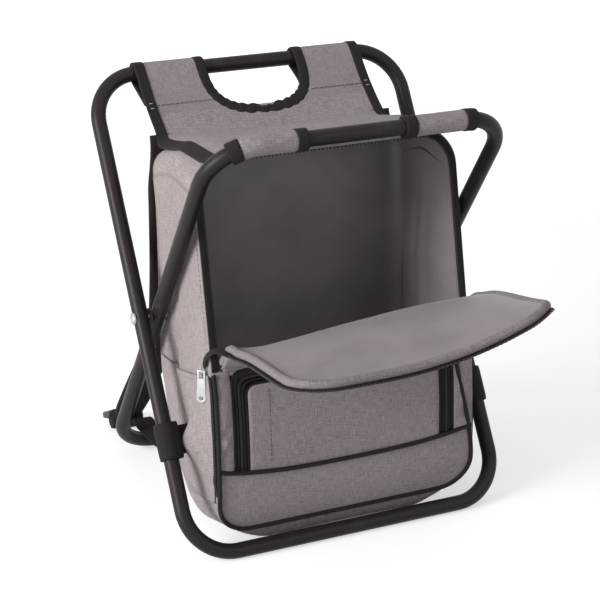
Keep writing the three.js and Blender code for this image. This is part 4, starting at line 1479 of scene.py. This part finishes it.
def row_point(back, up):
    """A point of the side view in the frame's own metres."""
    return PLACE @ Vector((0, back, up))


# Cloth that hangs between two bodies: both bodies, and where its bend starts and ends
SEAT_BEND = ("outer_frame", "inner_frame", row_point(-60, 405), row_point(-132, 422))
FLAP_BEND = ("outer_frame", "flap", row_point(-110, 198), row_point(-121, 208))


class STOOL_OT_seat(bpy.types.Operator):
    """Makes the seat cloth with its hand opening, bindings and stitching"""

    bl_idname = "stool.seat"
    bl_label = "Seat"

    def execute(self, context):
        wall, binding = size("seat_wall"), size("binding")
        cloth = joined(seat_half(-1), seat_half(1))
        bmesh.ops.remove_doubles(cloth, verts=cloth.verts, dist=0.05)
        sling = make_piece(cloth, "seat_cloth", "grey", "seat_sling", bends=SEAT_BEND, wall=wall)
        hand = hand_binding(binding, size("hand_ripple"))
        make_piece(hand, "hand_tape", "tape", "hand_opening_binding")
        for label, side in SIDES:
            tape, node = seat_tape(side, binding), f"seat_edge_binding_{label}"
            make_piece(tape, f"seat_tape_{label}", "tape", node, bends=SEAT_BEND, wall=wall + 2, levels=1)
            edge, inner = side * (SEAT_HALF_WIDTH - 1.5), side * (SEAT_HALF_WIDTH - binding)
            rows = [seat_cross_stitches(inner, edge, STITCH_SHARE + step * 0.017) for step in (0, 1)]
            make_piece(joined(*rows), f"seat_stitches_{label}", "thread")
            near = side * (HAND_HALF_WIDTH + binding - 7)
            seam = seat_cross_stitches(near, inner, STITCH_SHARE + 0.008)
            make_piece(seam, f"sleeve_seam_{label}", "dark_thread")
        return {"FINISHED"}


class STOOL_OT_front_sleeves(bpy.types.Operator):
    """Makes the two cloth sleeves on the front bar and their bindings"""

    bl_idname = "stool.front_sleeves"
    bl_label = "Front sleeves"

    def execute(self, context):
        binding, body = size("binding"), "inner_frame"
        for label, (start, end) in FRONT_SLEEVES.items():
            cloth = bar_sleeve(start + binding - 1, end - binding + 1, SLEEVE_CLOTH_RADIUS)
            make_piece(cloth, f"sleeve_cloth_{label}", "grey", f"front_sleeve_{label}", body)
            bands = [(end - binding, end), (start, start + binding)]
            if label == "right":
                bands.reverse()
            for place, stops in zip(("inner", "outer"), bands):
                tape = bar_sleeve(*stops, SLEEVE_TAPE_RADIUS)
                name, node = f"sleeve_tape_{place}_{label}", f"front_sleeve_{place}_binding_{label}"
                make_piece(tape, name, "tape", node, body)
        return {"FINISHED"}


class STOOL_OT_bag(bpy.types.Operator):
    """Makes the bag's outside: top, back, base, sides and the seams between them"""

    bl_idname = "stool.bag"
    bl_label = "Bag"

    def execute(self, context):
        wall, bulge = size("bag_wall"), size("side_bulge")
        pleat, tuck = size("pleat"), size("tuck")
        panels = (("top", TOP, top_pull, 20), ("back", BACK, no_pull, 56), ("base", BASE, base_pull, 18))
        for name, line, pull, rows in panels:
            mesh = bag_panel(line, pull, rows, inset=wall / 2)
            make_piece(mesh, f"cover_{name}", "grey", f"bag_{name}", wall=wall)
        for label, side in SIDES:
            mesh = side_panel(side, bulge, pleat, wall / 2, tuck)
            make_piece(mesh, f"cover_side_{label}", "grey", f"bag_side_{label}", wall=wall)
            for edge in ("back", "base"):
                make_piece(bag_seam(side, edge), f"{edge}_seam_{label}", "grey")
        return {"FINISHED"}


class STOOL_OT_opening(bpy.types.Operator):
    """Makes the border round the opening, its half of the zip and the lining behind it"""

    bl_idname = "stool.opening"
    bl_label = "Opening"

    def execute(self, context):
        outer = (BAG_HALF_WIDTH - 0.4, BAG_TOP - 0.6, TOP_CORNER)
        ring = opening_ring(outer, opening_arch(0), (-1, -1), size("border_crown"))
        make_piece(ring, "border_cloth", "grey", "front_border", wall=size("bag_wall"))
        band = flat_section(OPENING_TAPE_WIDTH, ZIP_TAPE_THICKNESS)
        tape = swept(opening_line(OPENING_TAPE_INSET), BORDER_OUT, band, 200)
        make_piece(tape, "opening_tape", "tape", "main_zip_tape")
        row = zip_teeth(opening_line(OPENING_TEETH_INSET), BORDER_OUT)
        make_piece(row, "opening_teeth", "plastic")
        for label, side in SIDES:
            row = stitches(opening_side_line(side), out_from(side))
            make_piece(row, f"opening_stitches_{label}", "dark_thread")
        self.make_lining()
        return {"FINISHED"}

    def make_lining(self):
        inset = LINING_INSET
        panels = [bag_panel(TOP, top_pull, 20, inset, 2.5), bag_panel(BACK, no_pull, 50, inset, 2.5)]
        panels.append(bag_panel(BASE, base_pull, 14, inset, 1.0))
        panels += [side_panel(side, -1.5, 2.0, inset) for _, side in SIDES]
        behind = (BAG_HALF_WIDTH - inset - 0.5, BAG_TOP - inset - 0.5, TOP_CORNER - inset)
        panels.append(opening_ring(behind, opening_arch(LINING_LIP_INSET), (-5.5, -3.5), -1))
        make_piece(joined(*panels), "cooler_lining", "lining", "cooler_liner")
        make_piece(pocket_divider(), "pocket_divider", "lining", "pocket_partition", wall=1.6)


class STOOL_OT_pocket(bpy.types.Operator):
    """Makes the front pocket: its panels, door, zip and piping"""

    bl_idname = "stool.pocket"
    bl_label = "Front pocket"

    def execute(self, context):
        wall, puff, pucker = (size(name) for name in ("bag_wall", "pocket_puff", "pucker"))
        make_piece(lower_panel(puff), "lower_cloth", "grey", "pocket_lower_panel", wall=wall)
        strips = []
        for _, side in SIDES:
            ends = sorted((side * STRIP_INNER_EDGE + POCKET_ZIP_SHIFT, side * (BAG_HALF_WIDTH - 0.5)))
            strips.append(face_panel(*ends, hem_height, SILL.y - 1, 2.6, 0.6, (14, 60), pucker))
        strips.append(face_panel(-130, 126, lambda x: SILL.y - 6, SILL.y - 0.5, 0.2, 0.2, (60, 3)))
        make_piece(joined(*strips), "pocket_strips", "grey", "pocket_surround", wall=wall)
        self.make_zip()
        half = POCKET_TAPE_ACROSS - POCKET_DOOR_GAP
        ends = POCKET_ZIP_SHIFT - half, POCKET_ZIP_SHIFT + half
        height, cells = (lambda x: hem_height(x) + 0.5, POCKET_DOOR_TOP), (56, 64)
        door = face_panel(*ends, *height, puff, 0.6, cells, corner=POCKET_DOOR_CORNER)
        make_piece(door, "door_cloth", "grey", "pocket_door", "pocket_door", wall=wall)
        make_piece(stitches(door_seam(), FACE_OUT), "door_stitches_left", "dark_thread", body="pocket_door")
        self.make_piping(size("piping"))
        for name in ("pocket_slider", "pocket_pull"):
            make_piece(softened_copy(name, 0.3), f"{name}_metal", "plate", name, name)
        return {"FINISHED"}

    def make_zip(self):
        band = swept(pocket_tape_line(0, -0.4), FACE_OUT, flat_section(POCKET_TAPE_WIDTH, 1.6), 150)
        make_piece(band, "pocket_tape", "tape", "pocket_zip_tape")
        lines = [pocket_tape_line(shift, 0.7) for shift in POCKET_RIDGES]
        ridges = [swept(line, FACE_OUT, round_section(RIDGE_RADIUS, 6), 150) for line in lines]
        make_piece(joined(*ridges), "pocket_tape_ridges", "tape")
        make_piece(zip_teeth(pocket_tape_line(0, 1), FACE_OUT), "pocket_teeth", "plastic")

    def make_piping(self, radius):
        section = round_section(radius, 10)
        edge = swept(piping_line(radius + 0.4), FACE_OUT, section, 260)
        make_piece(edge, "face_piping", "tape", "front_piping")
        for label, side in SIDES:
            make_piece(corner_tape(side), f"corner_tape_{label}", "tape")
        across = swept(hem_line(radius + 0.9), FACE_OUT, section, 120)
        make_piece(across, "hem_piping", "tape", "pocket_hem_piping")


def flatten_when_closed(piece):
    """Gives a flap piece its own copy of its mesh; its bulge stays as it is."""
    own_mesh(piece)


class STOOL_OT_flap(bpy.types.Operator):
    """Makes the padded flap with its roll and half of the zip, and the cloth that it hangs by"""

    bl_idname = "stool.flap"
    bl_label = "Flap"

    def execute(self, context):
        crown, roll = size("flap_crown"), size("rim_roll")
        shell, lining = flap_sheet(1.5, -3.2, -crown, 0.6), flap_sheet(5, 1.2, crown, 1.6)
        rim = swept(flap_rim(roll - 0.5, 0.6), flap_rim_up(), round_section(roll, 12), 260)
        zip_up = flap_rim_up(ZIP_TAIL_JOIN)
        tape_rim = flap_rim(FLAP_ZIP_INSET, FLAP_ZIP_LIFT, ZIP_TAIL_JOIN)
        band = swept(tape_rim, zip_up, flat_section(FLAP_ZIP_WIDTH, 2.2), 260)
        row = zip_teeth(flap_rim(FLAP_TEETH_INSET, FLAP_TEETH_LIFT, ZIP_TAIL_JOIN), zip_up)
        pieces = (
            make_piece(shell, "flap_cloth", "grey", "flap_shell", "flap", wall=1.4),
            make_piece(lining, "flap_lining", "lining", "flap_liner", "flap", wall=1),
            # The roll wears the grey cloth painted darker as shade
            make_piece(rim, "flap_roll", "rim", body="flap"),
            make_piece(band, "flap_tape", "tape", "flap_zip_tape", "flap"),
            make_piece(row, "flap_teeth", "plastic", body="flap"),
        )
        for piece in pieces:
            flatten_when_closed(piece)
        strip = make_piece(hinge_cloth(), "hinge_cloth", "grey", bends=FLAP_BEND, wall=1.4)
        for label, side in SIDES:
            tail = swept(zip_tail(side), tail_out(side), flat_section(ZIP_TAIL_WIDTH, 1.8), 44)
            make_piece(tail, f"zip_tail_{label}", "tape", bends=FLAP_BEND)
        return {"FINISHED"}


def hanging_turn(side):
    """A pull tab hangs loose in its eye, so it turns its flat side to the front."""
    eye = Vector((side * PULL_EYE[0], *PULL_EYE[1:]))
    turn = Matrix.Rotation(-side * PULL_TURN, 4, "Z") @ Matrix.Diagonal((1, 1.2, 1.18, 1))
    return Matrix.Translation(eye + Vector((side * 2.4, -3.5, 1))) @ turn @ Matrix.Translation(-eye)


class STOOL_OT_zip_pulls(bpy.types.Operator):
    """Makes the main zip's sliders and pull tabs with round edges"""

    bl_idname = "stool.zip_pulls"
    bl_label = "Zip pulls"

    def execute(self, context):
        for label, side in SIDES:
            for name in (f"zip_slider_{label}", f"zip_pull_{label}"):
                mesh = softened_copy(name, 0.35)
                if name.startswith("zip_pull"):
                    mesh.transform(hanging_turn(side))
                make_piece(mesh, f"{name}_metal", "plate", name, name)
        return {"FINISHED"}


def flatten_when_folded(piece):
    """Gives a side pocket piece its own copy of its mesh; its cloth stays as it is."""
    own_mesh(piece)


class STOOL_OT_sides(bpy.types.Operator):
    """Makes the side pockets and the wraps that tie the bag to the front legs"""

    bl_idname = "stool.sides"
    bl_label = "Side pockets and leg wraps"

    def execute(self, context):
        for label, side in SIDES:
            pocket, node = side_pocket(side), f"side_pocket_{label}"
            pieces = (
                make_piece(pocket, f"pocket_cloth_{label}", "grey", node, wall=1.4),
                make_piece(side_pocket_hem(side), f"pocket_hem_{label}", "grey"),
            )
            for piece in pieces:
                flatten_when_folded(piece)
            make_piece(leg_wrap(side), f"wrap_band_{label}", "tape", f"leg_wrap_{label}")
        return {"FINISHED"}


class STOOL_OT_straps(bpy.types.Operator):
    """Makes the shoulder straps, their webbing and adjusters"""

    bl_idname = "stool.straps"
    bl_label = "Shoulder straps"

    def execute(self, context):
        width, thickness = size("strap_width"), size("strap_pad")
        out, webbing_out = strap_out(STRAP_POINTS), strap_out(WEBBING_POINTS)
        for label, side in SIDES:
            pad = strap_pad(side, width, thickness)
            piece = make_piece(pad, f"strap_pad_{label}", "tape", f"shoulder_strap_{label}")
            shifts = (-width * STRAP_STITCH_SHARE, width * STRAP_STITCH_SHARE)
            lines = [strap_line(side, STRAP_POINTS, shift, thickness * 0.4) for shift in shifts]
            seams = joined(*(stitches(line, out) for line in lines))
            make_piece(seams, f"strap_stitches_{label}", "dark_thread")
            make_piece(strap_roll(side, width), f"strap_roll_{label}", "tape")
            line, section = strap_line(side, WEBBING_POINTS), flat_section(WEBBING_WIDTH, 1.8)
            webbing = swept(line, webbing_out, section, 90)
            make_piece(webbing, f"webbing_{label}", "tape", f"strap_webbing_{label}")
            node = f"strap_adjuster_{label}"
            make_piece(softened_copy(node, 1.2), f"adjuster_{label}", "plastic", node)
        return {"FINISHED"}


# Stage: pale floor, soft lamps and the camera
CAMERA_AIM = Vector((1.955, 0, 210.243))
CAMERA_DISTANCE = 1984.87
CAMERA_YAW = radians(-25.642)
CAMERA_ELEVATION = radians(21.845)
CAMERA_ROLL = radians(1.012)
CAMERA_LENS = 112.14
SENSOR_WIDTH = 36
ROOM_LIGHT = 0.42
LAMPS = (
    ("window_lamp", (-2.7, -0.45, 1.15), 1.5, 104),
    ("front_lamp", (1.3, -2.4, 1.7), 1.6, 9),
    ("top_lamp", (0.1, -0.3, 2.6), 1.8, 6),
)
LAMP_TARGET = (0, 0, 0.22)


def aimed(place, target):
    """A matrix at a place that looks at a target, upright."""
    turn = (Vector(target) - Vector(place)).to_track_quat("-Z", "Y")
    return Matrix.Translation(place) @ turn.to_matrix().to_4x4()


class STOOL_OT_stage(bpy.types.Operator):
    """Makes the floor, the lamps, the backdrop light and the camera"""

    bl_idname = "stool.stage"
    bl_label = "Stage"

    def execute(self, context):
        self.make_floor()
        self.make_world(context)
        self.make_lamps()
        self.make_camera(context)
        context.scene.view_settings.view_transform = "Standard"
        return {"FINISHED"}

    def make_floor(self):
        mesh = bmesh.new()
        bmesh.ops.create_grid(mesh, x_segments=4, y_segments=4, size=6)
        data = settled(mesh, "floor")
        floor = added("floor", data)
        recipe = Recipe("pale_floor", Roughness=0.8, Base_Color=(0.62, 0.62, 0.62, 1))
        camera_ray, gloss_ray, _ = recipe.looks()
        looks = camera_ray + gloss_ray
        from_middle = {0: recipe.place("object", 1)}
        length = recipe.node("ShaderNodeVectorMath", {"operation": "LENGTH"}, from_middle)
        far = Signal(recipe, length.outputs["Value"]).spread(0.9, 2.4)
        strength = looks * (far * 0.5 + 0.52)
        glow = recipe.node("ShaderNodeEmission", None, {"Color": (1, 1, 1, 1), "Strength": strength})
        total = recipe.node("ShaderNodeAddShader")
        recipe.feed(total.inputs[0], recipe.shader.outputs[0])
        recipe.feed(total.inputs[1], glow.outputs[0])
        recipe.feed(recipe.tree.nodes["Material Output"].inputs["Surface"], total.outputs[0])
        data.materials.append(recipe.material)

    def make_world(self, context):
        world = bpy.data.worlds.new("pale_room")
        world.use_nodes = True
        context.scene.world = world
        sky = Nodes(world.node_tree)
        camera_ray, gloss_ray, clear_ray = sky.looks()
        seen = camera_ray.most(gloss_ray).most(clear_ray)
        background = sky.tree.nodes["Background"]
        sky.feed(background.inputs["Color"], (1, 1, 1, 1))
        sky.feed(background.inputs["Strength"], seen * (1 - ROOM_LIGHT) + ROOM_LIGHT)

    def make_lamps(self):
        for name, place, width, power in LAMPS:
            data = bpy.data.lights.new(name, "AREA")
            data.shape = "SQUARE"
            data.size = width
            data.energy = power
            added(name, data).matrix_world = aimed(place, LAMP_TARGET)

    def make_camera(self, context):
        level = cos(CAMERA_ELEVATION)
        outward = (sin(CAMERA_YAW) * level, -cos(CAMERA_YAW) * level, sin(CAMERA_ELEVATION))
        place = PLACE @ (CAMERA_AIM + Vector(outward) * CAMERA_DISTANCE)
        data = bpy.data.cameras.new("photo_camera")
        data.lens = CAMERA_LENS
        data.sensor_width = SENSOR_WIDTH
        data.clip_start = 0.05
        camera = added("photo_camera", data)
        camera.matrix_world = aimed(place, PLACE @ CAMERA_AIM) @ Matrix.Rotation(CAMERA_ROLL, 4, "Z")
        context.scene.camera = camera


OPERATORS = (
    STOOL_OT_finishes,
    STOOL_OT_frame,
    STOOL_OT_seat,
    STOOL_OT_front_sleeves,
    STOOL_OT_bag,
    STOOL_OT_opening,
    STOOL_OT_pocket,
    STOOL_OT_flap,
    STOOL_OT_zip_pulls,
    STOOL_OT_sides,
    STOOL_OT_straps,
    STOOL_OT_stage,
)


class STOOL_PT_pieces(bpy.types.Panel):
    """Lists the stool's pieces and what can be changed on them"""

    bl_label = "Stool"
    bl_space_type = "VIEW_3D"
    bl_region_type = "UI"
    bl_category = "Stool"

    def draw(self, context):
        layout = self.layout
        for operator in OPERATORS:
            layout.operator(operator.bl_idname)
        for group in (context.scene.stool_sizes, context.scene.stool_colours):
            box = layout.box()
            for name in group.__annotations__:
                box.prop(group, name)


CLASSES = (StoolColours, StoolSizes, *OPERATORS, STOOL_PT_pieces)


def register():
    for item in CLASSES:
        bpy.utils.register_class(item)
    bpy.types.Scene.stool_colours = PointerProperty(type=StoolColours)
    bpy.types.Scene.stool_sizes = PointerProperty(type=StoolSizes)


def unregister():
    del bpy.types.Scene.stool_sizes
    del bpy.types.Scene.stool_colours
    for item in reversed(CLASSES):
        bpy.utils.unregister_class(item)


def main():
    register()
    for operator in OPERATORS:
        family, name = operator.bl_idname.split(".")
        getattr(getattr(bpy.ops, family), name)()


if __name__ == "__main__":
    main()
